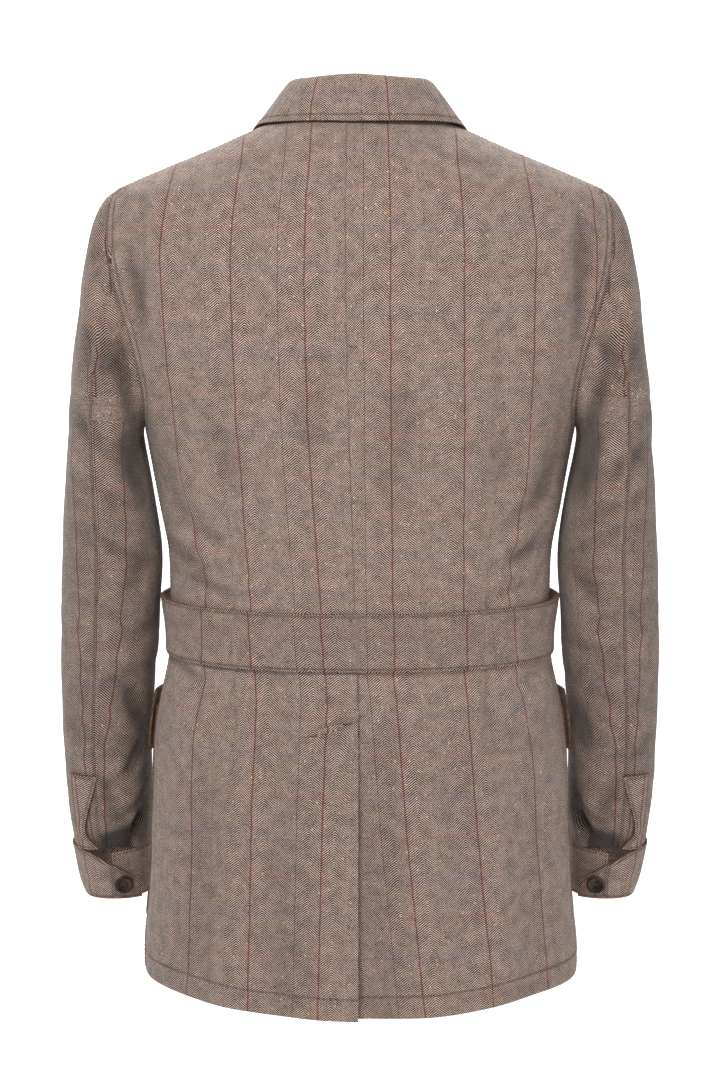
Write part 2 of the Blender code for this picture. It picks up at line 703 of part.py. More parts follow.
def fold_line(along):
    """Top of the stand, where the collar turns over."""
    seam = neck_seam(along)
    height = read_table(COLLAR_STAND, "along", "height", along)
    lean = read_table(COLLAR_STAND, "along", "lean", along)
    return seam + Vector((0.0, 0.0, height)) - lean * outwards(seam)


def collar_edge(along):
    """Free edge of the collar, just above the shoulder cloth."""
    face = "back" if along <= COLLAR_SHOULDER else "front"
    x = read_table(COLLAR_EDGE, "along", "x", along)
    z = read_table(COLLAR_EDGE, "along", "z", along)
    point, normal = body_point("L", angle_at(face, x, z), z, COLLAR_EDGE_OUT)
    return point


def whole_collar(place_at, shares, end):
    """Rows of collar points from the right front end round to the left one."""
    columns = [end * (2.0 * j / COLLAR_COLUMNS - 1.0) for j in range(COLLAR_COLUMNS + 1)]
    rows = []
    for share in shares:
        row = [place_at(abs(along), share) for along in columns]
        rows.append([point if along >= 0.0 else mirrored(point) for point, along in zip(row, columns)])
    return rows


def open_grid_normals(points, side_vector):
    """Normals of an open grid, turned to the side that a function points to."""
    rows, columns = len(points), len(points[0])
    normals = []
    for i in range(rows):
        row = []
        for j in range(columns):
            across = points[i][min(j + 1, columns - 1)] - points[i][max(j - 1, 0)]
            down = points[min(i + 1, rows - 1)][j] - points[max(i - 1, 0)][j]
            normal = down.cross(across).normalized()
            if normal.dot(side_vector(points[i][j])) < 0.0:
                normal.negate()
            row.append(normal)
        normals.append(row)
    return normals


def collar_stand():
    """Upright band of the collar, between the neck seam and the fold."""
    def at(along, share):
        seam = neck_seam(along) + Vector((0.0, 0.0, SEAM_GAP * 2.0))
        return seam + (fold_line(along) - seam) * share

    points = whole_collar(at, (0.0, 0.5, 1.0), STAND_END)
    cloth_wall("collar_stand", points, open_grid_normals(points, outwards))


def collar_fall():
    """The turned-down leaf, rolling over the stand and lying on the shoulders."""
    def at(along, share):
        fold = fold_line(along)
        on_slope = smoothstep(0.1, 0.5, along) * (1.0 - smoothstep(0.9, 1.0, along))
        lift = Vector((0.0, 0.0, (CLOTH + LAY_GAP) * (1.0 + 1.2 * on_slope)))
        start = fold + lift - 1.5 * outwards(fold)
        roll = COLLAR_ROLL * (1.0 - 0.6 * smoothstep(0.2, 0.5, along))
        control = fold + lift * 1.6 + roll * outwards(fold)
        end = collar_edge(along)
        return (1 - share) ** 2 * start + 2 * share * (1 - share) * control + share ** 2 * end

    points = whole_collar(at, (0.0, 0.16, 0.36, 0.66, 1.0), 1.0)
    normals = open_grid_normals(points, lambda point: outwards(point) + Vector((0.0, 0.0, 1.2)))
    cloth_wall("collar_fall", points, normals)


def lapel(side):
    """Turned-back part of the front, from the roll line to its outer edge."""
    rows, columns = 9, 5
    points, normals = [], []
    for i in range(rows + 1):
        down = i / rows
        roll_z = LAPEL_TOP_Z + (LAPEL_EDGE[-1].z - LAPEL_TOP_Z) * down
        edge_x = read_table(LAPEL_EDGE, "along", "x", down)
        edge_z = read_table(LAPEL_EDGE, "along", "z", down)
        row = []
        for j in range(columns + 1):
            share = j / columns
            x = roll_line_x(roll_z) + (edge_x - roll_line_x(roll_z)) * share
            notch = GORGE_DIP * math.sin(math.pi * share) * (1.0 - smoothstep(0.0, 0.15, down))
            z = roll_z + (edge_z - roll_z) * share + notch
            out = LAY_GAP + CLOTH + 1.2 * math.sin(math.pi * share)
            row.append(body_point(side, angle_at("front", x, z), z, out))
        points.append([point for point, normal in row])
        normals.append([normal for point, normal in row])
    cloth_wall("lapel_" + side_name(side), *place_side(side, points, normals))


# --- Belt --------------------------------------------------------------------
def belt_lift(angle, z):
    """The belt's upper edge stands off the waist at the sides."""
    upper = smoothstep(WAIST_BOTTOM_Z, WAIST_TOP_Z, z)
    beside = math.exp(-(angle / 22.0) ** 2)
    return BELT_LIFT * upper * beside


def belt_grid(side, end_angle, columns, overlap):
    """Belt points and normals on one side, made from the waist's own points.

    The overlap lifts the belt where it passes over the other front belt.
    """
    points, normals = [], []
    for z in WAIST_ROWS:
        row = []
        for j in range(columns + 1):
            angle = end_angle * j / columns
            over = overlap * smoothstep(-52.0, -84.0, angle)
            out = LAY_GAP + DOUBLE_CLOTH + belt_lift(angle, z) + over
            row.append(body_point(side, angle, z, out))
        points.append([point for point, normal in row])
        normals.append([normal for point, normal in row])
    return place_side(side, points, normals)


def belt_wall(name, points, normals):
    pull_in_columns(points, SEAM_GAP / 2, SEAM_GAP / 2)
    cloth_wall(name, points, normals, DOUBLE_CLOTH)


def belt():
    """Back belt from side seam to side seam, and two ends that button in front."""
    left_points, left_normals = belt_grid("L", 90.0, BACK_COLUMNS, 0.0)
    right_points, right_normals = belt_grid("R", 90.0, BACK_COLUMNS, 0.0)
    back_points = [left + right[-2::-1] for left, right in zip(left_points, right_points)]
    back_normals = [left + right[-2::-1] for left, right in zip(left_normals, right_normals)]
    belt_wall("belt_back", back_points, back_normals)

    left_end = angle_at("front", -BELT_END_X, WAIST_TOP_Z)
    belt_wall("belt_front_left", *belt_grid("L", left_end, BELT_LEFT_COLUMNS, BELT_OVER))
    right_end = angle_at("front", BELT_RIGHT_END_X, WAIST_TOP_Z)
    belt_wall("belt_front_right", *belt_grid("R", right_end, FRONT_COLUMNS, 0.0))


# --- Pockets -----------------------------------------------------------------
def patch_out(patch, angle, z):
    """Distance from the front's cloth to the outside of a pocket or flap."""
    base = POCKET_GAP + CLOTH
    layers = base if patch.out == 0.0 else 2.0 * base + patch.out
    across = (patch.angle_side - angle) / (patch.angle_side - patch.angle_centre)
    down = min((patch.z_top - z) / (patch.z_top - patch.z_bottom), 1.0)
    return layers + PATCH_PUFF * math.sin(math.pi * across) * math.sin(math.pi * down)


def patch_piece(patch, side):
    """Patch pocket or flap with rounded lower corners, lying on the front."""
    between = [angle for angle in front_angles((patch.z_top + patch.z_bottom) / 2.0)
               if patch.angle_centre + 2.0 < angle < patch.angle_side - 2.0]
    angles = [patch.angle_side] + between + [patch.angle_centre]
    corner_start = patch.z_bottom + patch.corner
    heights = [patch.z_top] + [z for z in PANEL_ROWS if corner_start + 5.0 < z < patch.z_top - 5.0]
    heights += [corner_start, patch.z_bottom + 0.3 * patch.corner, patch.z_bottom]
    points, normals = [], []
    for z in heights:
        above_bottom = min((z - patch.z_bottom) / patch.corner, 1.0)
        inset = patch.corner * (1.0 - math.sqrt(max(1.0 - (1.0 - above_bottom) ** 2, 0.0)))
        row = [body_point(side, angle, z, patch_out(patch, angle, z)) for angle in angles]
        row_points = [point for point, normal in row]
        pull_in_columns([row_points], 0.8 * inset, 0.8 * inset)
        points.append(row_points)
        normals.append([normal for point, normal in row])
    cloth_wall(patch.name + "_" + side_name(side), *place_side(side, points, normals))


# --- Buttons -----------------------------------------------------------------
def button(name, centre, normal, radius):
    """Turned button: flat back, raised rim and a dished middle."""
    profile = [(0.82, 0.0), (1.0, 0.4), (0.97, 0.85), (0.8, 1.0), (0.52, 0.66)]
    builder = bmesh.new()
    rings = []
    for share, height in profile:
        ring = []
        for k in range(BUTTON_SIDES):
            turn = 2.0 * math.pi * k / BUTTON_SIDES
            ring.append(builder.verts.new((radius * share * math.cos(turn),
                                           radius * share * math.sin(turn), BUTTON_HEIGHT * height)))
        rings.append(ring)
    builder.faces.new(rings[0])
    builder.faces.new(rings[-1])
    for lower, upper in zip(rings, rings[1:]):
        for k in range(BUTTON_SIDES):
            follow = (k + 1) % BUTTON_SIDES
            builder.faces.new((lower[k], lower[follow], upper[follow], upper[k]))
    turn_to_normal = Vector((0.0, 0.0, 1.0)).rotation_difference(normal).to_matrix().to_4x4()
    builder.transform(Matrix.Translation(centre + SEAM_GAP * normal) @ turn_to_normal)
    finish_object(name, builder, HORN, smooth_angle=35.0)


def front_buttons():
    for number, z in enumerate(FRONT_BUTTONS_Z, start=1):
        point, normal = body_point("L", -90.0, z)
        button("front_button_%d" % number, point, normal, FRONT_BUTTON_RADIUS)


def belt_button():
    z = (WAIST_TOP_Z + WAIST_BOTTOM_Z) / 2.0
    angle = angle_at("front", -BELT_BUTTON_X, z)
    point, normal = body_point("L", angle, z, LAY_GAP + DOUBLE_CLOTH + BELT_OVER)
    button("belt_button", point, normal, FRONT_BUTTON_RADIUS)


def flap_button(patch, side):
    z = patch.z_bottom + FLAP_BUTTON_UP
    middle = (patch.angle_side + patch.angle_centre) / 2.0
    column = min(front_angles(z), key=lambda angle: abs(angle - middle))
    point, normal = body_point(side, column, z, patch_out(patch, column, z))
    if side == "R":
        point, normal = mirrored(point), mirrored(normal)
    button(patch.name + "_button_" + side_name(side), point, normal, SMALL_BUTTON_RADIUS)


def cuff_button(side):
    top = CUFF_SECTIONS[0].z - read_table(CUFF_TOP, "angle", "drop", CUFF_BUTTON_ANGLE)
    bottom = CUFF_SECTIONS[-1].z + 3.0 * math.sin(math.radians(CUFF_BUTTON_ANGLE))
    share = (CUFF_BUTTON_Z - top) / (bottom - top)
    point, normal = cuff_point(CUFF_BUTTON_ANGLE, share)
    if side == "R":
        point, normal = mirrored(point), mirrored(normal)
    button("cuff_button_" + side_name(side), point, normal, SMALL_BUTTON_RADIUS)


# --- The jacket --------------------------------------------------------------
def main():
    for old in list(bpy.context.scene.objects):
        bpy.data.objects.remove(old, do_unlink=True)

    for side in ("L", "R"):
        back_panel(side)
        front_panel(side)
        sleeve_piece("sleeve_top", side, range(FOREARM_COLUMN, ARM_COLUMNS + HINDARM_COLUMN + 1))
        sleeve_piece("sleeve_under", side, range(HINDARM_COLUMN, FOREARM_COLUMN + 1))
        sleeve_placket(side)
        cuff(side)
        cuff_button(side)
        lapel(side)
        for patch in PATCHES:
            patch_piece(patch, side)
            if patch.name.endswith("flap"):
                flap_button(patch, side)
    collar_stand()
    collar_fall()
    belt()
    front_buttons()
    belt_button()


main()
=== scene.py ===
# %% [markdown]
# # A safari jacket in herringbone tweed
#
# The jacket is worn and hollow, and its back faces the camera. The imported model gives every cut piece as
# a plain wall of cloth. Each piece is made again here as a thin shell on that wall, with its creases,
# its weave and its stitching, so that it still lies exactly where the model says.

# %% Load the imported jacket
import math
from collections import namedtuple

import bmesh
import bpy
import numpy as np
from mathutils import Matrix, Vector
from mathutils.bvhtree import BVHTree
from mathutils.kdtree import KDTree


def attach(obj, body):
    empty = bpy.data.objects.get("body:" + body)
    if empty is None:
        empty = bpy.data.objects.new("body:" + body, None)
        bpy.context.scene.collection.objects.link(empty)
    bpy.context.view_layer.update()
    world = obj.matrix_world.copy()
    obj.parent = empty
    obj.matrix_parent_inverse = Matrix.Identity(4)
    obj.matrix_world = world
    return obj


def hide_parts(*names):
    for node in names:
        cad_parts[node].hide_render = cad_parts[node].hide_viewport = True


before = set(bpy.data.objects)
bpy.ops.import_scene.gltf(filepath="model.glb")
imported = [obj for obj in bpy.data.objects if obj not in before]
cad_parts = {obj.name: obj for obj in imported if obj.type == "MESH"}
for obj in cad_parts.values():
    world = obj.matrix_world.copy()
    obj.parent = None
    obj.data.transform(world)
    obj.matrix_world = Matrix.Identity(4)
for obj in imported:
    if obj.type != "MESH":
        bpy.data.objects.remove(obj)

MM = 0.001
SIDES = ("left", "right")
bpy.context.view_layer.update()
bpy.ops.object.select_all(action="DESELECT")
print("the packed jacket has", len(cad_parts), "pieces")


def add_object(name, data):
    """New object in the scene, made of a mesh or other data."""
    made = bpy.data.objects.new(name, data)
    bpy.context.scene.collection.objects.link(made)
    return made


def select_only(piece):
    bpy.ops.object.select_all(action="DESELECT")
    bpy.context.view_layer.objects.active = piece
    piece.select_set(True)



# %% [markdown]
# ## The studio
#
# The jacket was photographed from behind with a long lens, a little above its middle, in light so soft
# that hardly any shadow falls. Three large area lights and a pale world do the same.

# %% Camera and lights
CAMERA_DISTANCE = 2.35
CAMERA_ELEVATION = math.radians(8.2)
AIM = Vector((0.0, 0.0, -0.35))

camera_data = bpy.data.cameras.new("camera")
camera_data.sensor_width = 36.0
camera_data.lens = 90.0
camera = add_object("camera", camera_data)
towards_camera = Vector((0.0, math.cos(CAMERA_ELEVATION), math.sin(CAMERA_ELEVATION)))
camera.location = AIM + CAMERA_DISTANCE * towards_camera
camera.rotation_euler = (AIM - camera.location).to_track_quat("-Z", "Y").to_euler()
bpy.context.scene.camera = camera


def area_light(name, place, width, watts):
    """Square soft light that shines at the middle of the jacket."""
    bpy.ops.object.light_add(type="AREA", location=place)
    light = bpy.context.object
    light.name = name
    light.data.size = width
    light.data.energy = watts
    light.rotation_euler = (AIM - light.location).to_track_quat("-Z", "Y").to_euler()


area_light("key_light", (0.6, 2.2, 1.8), 1.1, 70.0)
area_light("fill_light", (-1.8, 2.2, 0.2), 1.4, 13.0)
area_light("front_light", (0.3, -2.2, 2.4), 2.4, 120.0)

world = bpy.data.worlds.new("studio")
world.use_nodes = True
background = world.node_tree.nodes["Background"]
background.inputs["Color"].default_value = (1.0, 1.0, 1.0, 1.0)
background.inputs["Strength"].default_value = 0.12
bpy.context.scene.world = world
bpy.context.scene.view_settings.view_transform = "Standard"
print("the camera stands", round(camera.location.y, 3), "m behind the jacket")

# %% [markdown]
# ## Shader maths that reads like arithmetic
#
# A weave is a pattern of lines, so its shader is mostly arithmetic. A small class wraps a node's output
# socket: adding or multiplying two of them adds the Math node. One more method makes any other node.

# %% A socket that can be calculated with
class Wire:
    """One output socket of a material's node tree."""

    def __init__(self, tree, socket):
        self.tree = tree
        self.socket = socket

    def node(self, kind, settings, inputs, output=0):
        """Any node: its settings first, then values or wires for its sockets."""
        made = self.tree.nodes.new(kind)
        for key, value in settings.items():
            if key == "stops":
                for position, colour in value[1:-1]:
                    made.color_ramp.elements.new(position)
                for stop, (position, colour) in zip(made.color_ramp.elements, value):
                    stop.position = position
                    stop.color = (*colour, 1.0)
            else:
                setattr(made, key, value)
        for key, value in inputs.items():
            if isinstance(value, Wire):
                self.tree.links.new(value.socket, made.inputs[key])
            else:
                made.inputs[key].default_value = value
        return Wire(self.tree, made.outputs[output])

    def maths(self, operation, *values):
        return self.node("ShaderNodeMath", {"operation": operation}, dict(enumerate(values)))

    def __add__(self, other):
        return self.maths("ADD", self, other)

    __radd__ = __add__

    def __sub__(self, other):
        return self.maths("SUBTRACT", self, other)

    def __rsub__(self, other):
        return self.maths("SUBTRACT", other, self)

    def __mul__(self, other):
        return self.maths("MULTIPLY", self, other)

    __rmul__ = __mul__

    def size(self):
        return self.maths("ABSOLUTE", self)

    def least(self, other):
        return self.maths("MINIMUM", self, other)

    def wrapped(self, period):
        return self.maths("WRAP", self, period, 0.0)

    def wave(self, period):
        """Sine wave with a period, from -1 to 1."""
        return self.maths("SINE", self * (2.0 * math.pi / period))

    def ramp(self, low, high, start=0.0, end=1.0):
        """Smooth step between two values."""
        return self.node("ShaderNodeMapRange", {"interpolation_type": "SMOOTHSTEP"},
                         {"Value": self, "From Min": low, "From Max": high, "To Min": start, "To Max": end})

    def noise(self, scale, detail):
        """Noise texture, with this wire as the place."""
        return self.node("ShaderNodeTexNoise", {}, {"Vector": self, "Scale": scale, "Detail": detail}, 0)

    def attribute(self, name):
        return self.node("ShaderNodeAttribute", {"attribute_name": name}, {}, 2)

    def own_place(self):
        """Place on the object, in its own coordinates."""
        return self.node("ShaderNodeTexCoord", {}, {}, 3)

    def bump(self, strength, distance):
        """Normal of a surface whose relief is this wire."""
        return self.node("ShaderNodeBump", {}, {"Strength": strength, "Distance": distance, "Height": self})

    def into(self, shader, name):
        self.tree.links.new(self.socket, shader.inputs[name])

    def blend(self, first, second):
        """Colour mixed from two colours, with this wire as the factor."""
        return self.node("ShaderNodeMix", {"data_type": "RGBA"}, {0: self, 6: first, 7: second}, 2)


def colour(red, green, blue):
    return (red, green, blue, 1.0)


def new_material(name, **values):
    """Material with one Principled shader; gives the shader and a wire to start from."""
    material = bpy.data.materials.new(name)
    material.use_nodes = True
    shader = material.node_tree.nodes["Principled BSDF"]
    for key, value in values.items():
        shader.inputs[key.replace("_", " ")].default_value = value
    return material, shader, Wire(material.node_tree, None)


# %% [markdown]
# ## The cove
#
# The photograph's ground is plain white. A round studio cove gives that: a pale floor far below the hem
# that curves up into a low wall. A cylinder makes it, opened at the top, turned inside out and rounded
# where floor and wall meet. Its far side is lit from within, as white backdrops are.

# %% Floor and wall of the studio
COVE_RADIUS = 7.0
FLOOR_LEVEL = -1.25
WALL_HEIGHT = 3.5
CURVE_WIDTH = 1.4
CURVE_SEGMENTS = 16
GLOW_FROM = -3.0         # the light in the floor fades between these two places
GLOW_TO = -0.5

bpy.ops.object.select_all(action="DESELECT")
bpy.ops.mesh.primitive_cylinder_add(vertices=96, radius=COVE_RADIUS, depth=WALL_HEIGHT,
                                    location=(0.0, 0.0, FLOOR_LEVEL + WALL_HEIGHT / 2.0))
cove = bpy.context.object
cove.name = "studio_cove"
bpy.ops.object.transform_apply(location=True, rotation=False, scale=False)
bpy.ops.object.mode_set(mode="EDIT")
bpy.ops.mesh.select_mode(type="FACE")
bpy.ops.mesh.select_all(action="DESELECT")
bpy.ops.object.mode_set(mode="OBJECT")
for polygon in cove.data.polygons:
    polygon.select = polygon.normal.z > 0.9
bpy.ops.object.mode_set(mode="EDIT")
bpy.ops.mesh.delete(type="FACE")
bpy.ops.mesh.select_all(action="SELECT")
bpy.ops.mesh.flip_normals()
bpy.ops.object.mode_set(mode="OBJECT")
curve = cove.modifiers.new("curve", "BEVEL")
curve.width = CURVE_WIDTH
curve.segments = CURVE_SEGMENTS
curve.limit_method = "ANGLE"
bpy.ops.object.modifier_apply(modifier="curve")
bpy.ops.object.shade_smooth()
cove.select_set(False)

pale_floor, floor_shader, start = new_material("pale_floor", Base_Color=colour(0.86, 0.86, 0.85),
                                               Roughness=0.95, Emission_Strength=1.0)
towards_back = start.node("ShaderNodeSeparateXYZ", {}, {"Vector": start.own_place()}, 1)
towards_back.ramp(GLOW_FROM, GLOW_TO, 1.0, 0.02).into(floor_shader, "Emission Color")
cove.data.materials.append(pale_floor)
print("the cove is", 2.0 * COVE_RADIUS, "m wide")

# %% [markdown]
# ## The tweed
#
# The cloth repeats every 61 mm across: a strip of hopsack dots, then two chevrons of herringbone with
# a rust-red warp stripe between them, and a beige dotted stripe. Faint blue and red lines cross it every
# 34 mm. The pattern reads the piece's own UV map, in metres along and across the grain, so it turns
# and narrows with the cloth.
#
# Four attributes shade it further with painted shade. Two hold the distance from the nearest stitch rows,
# where the cloth is pressed in and darkened. One holds the distance from a sharp crease, drawn as a dark line
# of painted shade, and one says how deep in a fold the cloth lies, so that a fold is painted darker than its
# depth alone would shade it.

# %% Sizes of the weave
REPEAT = 0.0610
HOPSACK_END = 0.0167
FIRST_PEAK = 0.0275
RED_STRIPE = 0.0389
SECOND_PEAK = 0.0497
BEIGE_STRIPE = 0.0600
TWILL_PITCH = 0.00199
TWILL_SLOPE = 0.80
PANE = 0.0680            # from one blue line to the next; the red one lies between

# %% Colours of the yarns, each from its darker to its lighter tone where it varies
PALE_YARN = (colour(0.70, 0.52, 0.42), colour(1.0, 0.82, 0.70))
DARK_YARN = (colour(0.012, 0.005, 0.004), colour(0.12, 0.034, 0.018))
BEIGE_YARN = colour(0.27, 0.19, 0.15)
RED_YARN = colour(0.13, 0.020, 0.014)
PANE_BLUE = colour(0.035, 0.045, 0.13)
PANE_RED = colour(0.17, 0.018, 0.012)
# painted shade for the pressed-in grooves of stitch rows, seams and the dart
ROW_GROOVE_SHADE = colour(0.045, 0.028, 0.022)
CREASE_SHADOW = colour(0.020, 0.012, 0.010)
NEPS = [(0.0, (0.80, 0.42, 0.10)), (0.35, (0.85, 0.60, 0.18)), (0.6, (0.62, 0.24, 0.09)),
        (0.78, (0.13, 0.17, 0.34)), (1.0, (0.50, 0.08, 0.05))]


# %% The tweed material
def tweed_material():
    """Herringbone tweed on the UV map "weave"."""
    material, shader, start = new_material("herringbone_tweed", Specular_IOR_Level=0.25,
                                           Sheen_Weight=0.12, Sheen_Roughness=0.6)
    place = start.node("ShaderNodeUVMap", {"uv_map": "weave"}, {})
    split = {"Vector": place}
    across = start.node("ShaderNodeSeparateXYZ", {}, split, 0)
    along = start.node("ShaderNodeSeparateXYZ", {}, split, 1)

    # slight waviness, because no yarn lies quite straight
    slow = place.noise(55.0, 1.0)
    across = across + (slow - 0.5) * 0.0016
    in_repeat = across.wrapped(REPEAT)

    from_peak = (in_repeat - FIRST_PEAK).size().least((in_repeat - SECOND_PEAK).size())
    line = (along + from_peak * TWILL_SLOPE).wave(TWILL_PITCH)
    dots = across.wave(0.00206) * along.wave(TWILL_PITCH) * 2.0
    in_hopsack = in_repeat.ramp(HOPSACK_END - 0.0003, HOPSACK_END + 0.0003, 1.0, 0.0)
    weave = line + in_hopsack * (dots - line)
    pale = weave.ramp(0.50, 0.86)

    # uneven yarn: cream to tan in the pale lines, near black to rust in the dark ones
    yarn = place.noise(620.0, 2.0)
    patch = place.noise(90.0, 3.0)
    tone = yarn * 0.7 + patch * 0.3
    cream = tone.ramp(0.34, 0.56).blend(*PALE_YARN)
    brown = tone.ramp(0.42, 0.66).blend(*DARK_YARN)
    cloth = pale.blend(brown, cream)

    # coloured yarns of the stripes and of the faint window pane, which shows between the pale lines
    beige = (in_repeat - BEIGE_STRIPE).size().ramp(0.0004, 0.0011, 0.60, 0.0)
    cloth = beige.blend(cloth, BEIGE_YARN)
    red = (in_repeat - RED_STRIPE).size().ramp(0.0003, 0.0010, 0.80, 0.0)
    cloth = red.blend(cloth, RED_YARN)
    between = 0.75 - pale * 0.60
    from_blue = (along.wrapped(PANE) - PANE / 2.0).size()
    blue = (from_blue - 0.0024).size().ramp(0.0004, 0.0012, 0.66, 0.0) * between
    cloth = blue.blend(cloth, PANE_BLUE)
    from_red = PANE / 2.0 - from_blue
    pane_red = from_red.ramp(0.0005, 0.0013, 0.8, 0.0) * between
    cloth = pane_red.blend(cloth, PANE_RED)

    # neps: small knots of yellow, orange, blue and red wool
    cells = {"Vector": place, "Scale": 260.0, "Randomness": 1.0}
    nep_near = start.node("ShaderNodeTexVoronoi", {}, cells, 0)
    nep_kind = start.node("ShaderNodeTexVoronoi", {}, cells, 1)
    nep_draw = start.node("ShaderNodeSeparateColor", {}, {"Color": nep_kind}, 0)
    nep_hue = start.node("ShaderNodeSeparateColor", {}, {"Color": nep_kind}, 1)
    nep_colour = start.node("ShaderNodeValToRGB", {"stops": NEPS}, {"Fac": nep_hue})
    nep = nep_near.ramp(0.12, 0.23, 1.0, 0.0) * nep_draw.ramp(0.70, 0.74) * 0.8
    cloth = nep.blend(cloth, nep_colour)

    # stitch rows are pressed in and darkened with painted shade, and creases and folds are darkened with
    # painted shade
    near_row = start.attribute("row_a").size()
    next_row = start.attribute("row_b").size()
    pressed = near_row.least(next_row).ramp(0.0003, 0.0017, 1.0, 0.0)
    cloth = (pressed * 0.42).blend(cloth, ROW_GROOVE_SHADE)
    pinch = start.attribute("pinch").size().ramp(0.0002, 0.0022, 1.0, 0.0)
    cloth = (pinch * 0.75).blend(cloth, CREASE_SHADOW)
    # random tone of the cloth, times painted shade that grows with the depth of a fold
    tone_and_fold_shade = patch.ramp(0.25, 0.75, 0.93, 1.07) * (1.0 - start.attribute("fold") * 0.60)
    shade = start.node("ShaderNodeCombineColor", {}, {"Red": tone_and_fold_shade, "Green": tone_and_fold_shade, "Blue": tone_and_fold_shade})
    cloth = start.node("ShaderNodeMix", {"data_type": "RGBA", "blend_type": "MULTIPLY"},
                       {0: 1.0, 6: cloth, 7: shade}, 2)
    cloth.into(shader, "Base Color")

    hair = place.noise(1500.0, 2.0)
    height = pale * 0.35 + hair * 0.30 + patch * 0.35 - pressed * 1.3
    height.bump(0.55, 0.0006).into(shader, "Normal")
    tone.ramp(0.2, 0.8, 0.98, 0.82).into(shader, "Roughness")
    return material


def folded_edge_material():
    """Brown wool of the turned edges, where the warp yarns lie side by side."""
    material, shader, start = new_material("folded_edge", Roughness=0.95, Specular_IOR_Level=0.25)
    place = start.own_place()
    fuzz = place.noise(900.0, 2.0)
    wool = fuzz.ramp(0.35, 0.65).blend(colour(0.055, 0.024, 0.014), colour(0.24, 0.12, 0.065))
    wool.into(shader, "Base Color")
    fuzz.bump(0.5, 0.0004).into(shader, "Normal")
    return material


tweed = tweed_material()
folded_edge = folded_edge_material()
print("the tweed shader has", len(tweed.node_tree.nodes), "nodes")

# %% [markdown]
# ## From a wall to a thin shell
#
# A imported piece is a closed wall, 2 mm thick, of flat triangles. The shell starts from a copy of its
# outer side alone. Faces joined by flat edges belong to one side, and sharp edges part it from the rim.
# Triangles go back to four-sided faces, which a Subdivision Surface rounds evenly.

# %% Take the outer side of a packed wall
SHARP = math.radians(55.0)


def merged_copy(node):
    """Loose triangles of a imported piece, joined again where their corners meet."""
    copy = bmesh.new()
    copy.from_mesh(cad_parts[node].data)
    bmesh.ops.remove_doubles(copy, verts=copy.verts, dist=0.02 * MM)
    copy.faces.ensure_lookup_table()
    return copy


def smooth_patches(copy):
    """Groups of faces that are joined without a sharp edge between them."""
    groups, done = [], set()
    for seed in copy.faces:
        if seed in done:
            continue
        group, waiting = [], [seed]
        done.add(seed)
        while waiting:
            face = waiting.pop()
            group.append(face)
            for edge in face.edges:
                if len(edge.link_faces) == 2 and edge.calc_face_angle(math.pi) < SHARP:
                    for other in edge.link_faces:
                        if other not in done:
                            done.add(other)
                            waiting.append(other)
        groups.append(group)
    return groups


def outer_side(node, centre_at):
    """Open sheet of the side of a wall that faces away from a centre line."""
    copy = merged_copy(node)

    def outwardness(group):
        return sum(face.calc_area() * face.normal.dot(face.calc_center_median()
                   - centre_at(face.calc_center_median())) for face in group)

    keep = set(max(smooth_patches(copy), key=outwardness))
    bmesh.ops.delete(copy, geom=[face for face in copy.faces if face not in keep], context="FACES")
    bmesh.ops.join_triangles(copy, faces=copy.faces, angle_face_threshold=math.radians(35.0),
                             angle_shape_threshold=math.radians(70.0))
    mesh = bpy.data.meshes.new(node + "_sheet")
    copy.to_mesh(mesh)
    copy.free()
    return mesh


def body_centre(point):
    return Vector((0.0, 0.0, point.z))


def apply_modifiers(piece):
    select_only(piece)
    for modifier in list(piece.modifiers):
        bpy.ops.object.modifier_apply(modifier=modifier.name)
    piece.select_set(False)


def subdivided_sheet(node, centre_at=body_centre, levels=3):
    """New object: the outer side of a piece, made of small smooth faces."""
    piece = add_object("cloth_" + node, outer_side(node, centre_at))
    subdivision = piece.modifiers.new("subdivision", "SUBSURF")
    subdivision.levels = levels
    subdivision.render_levels = levels
    subdivision.boundary_smooth = "PRESERVE_CORNERS"
    apply_modifiers(piece)
    return piece


def vertex_rows(piece, name):
    values = np.empty(len(piece.data.vertices) * 3)
    piece.data.vertices.foreach_get(name, values)
    return values.reshape(-1, 3)


def points_of(piece):
    return vertex_rows(piece, "co")


def normals_of(piece):
    return vertex_rows(piece, "normal")


def move_points(piece, points):
    piece.data.vertices.foreach_set("co", points.ravel())
    piece.data.update()


# %% [markdown]
# ## A tape measure round the body
#
# The stripes run down the cloth, so the weave needs to know how far a point lies from the centre back,
# measured along the cloth and not through the air. Rays towards the middle of the body find its surface
# at many heights and angles. Adding up the short stretches between them gives the length of tape.

# %% Measure the body
SHOULDER_HEIGHT = -0.110      # above this the shoulders slope, and the tape lies on this level
HEIGHTS = np.linspace(-0.725, SHOULDER_HEIGHT, 42)
ANGLES = np.arange(-90.0, 90.1, 2.5)


def tree_of(*nodes):
    """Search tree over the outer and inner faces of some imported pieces."""
    corners, triangles = [], []
    for node in nodes:
        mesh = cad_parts[node].data
        mesh.calc_loop_triangles()
        first = len(corners)
        corners += [vertex.co.copy() for vertex in mesh.vertices]
        triangles += [[first + index for index in triangle.vertices] for triangle in mesh.loop_triangles]
    return BVHTree.FromPolygons(corners, triangles)


def ring_radius(tree, z):
    """Radius of the left half of the body at each angle; gaps are bridged."""
    radii = np.full(len(ANGLES), np.nan)
    for i, angle in enumerate(np.radians(ANGLES)):
        direction = Vector((math.cos(angle), math.sin(angle), 0.0))
        hit, normal, index, distance = tree.ray_cast(direction * 0.5 + Vector((0.0, 0.0, z)), -direction)
        if hit is not None and distance < 0.45:
            radii[i] = 0.5 - distance
    known = ~np.isnan(radii)
    return np.interp(ANGLES, ANGLES[known], radii[known])


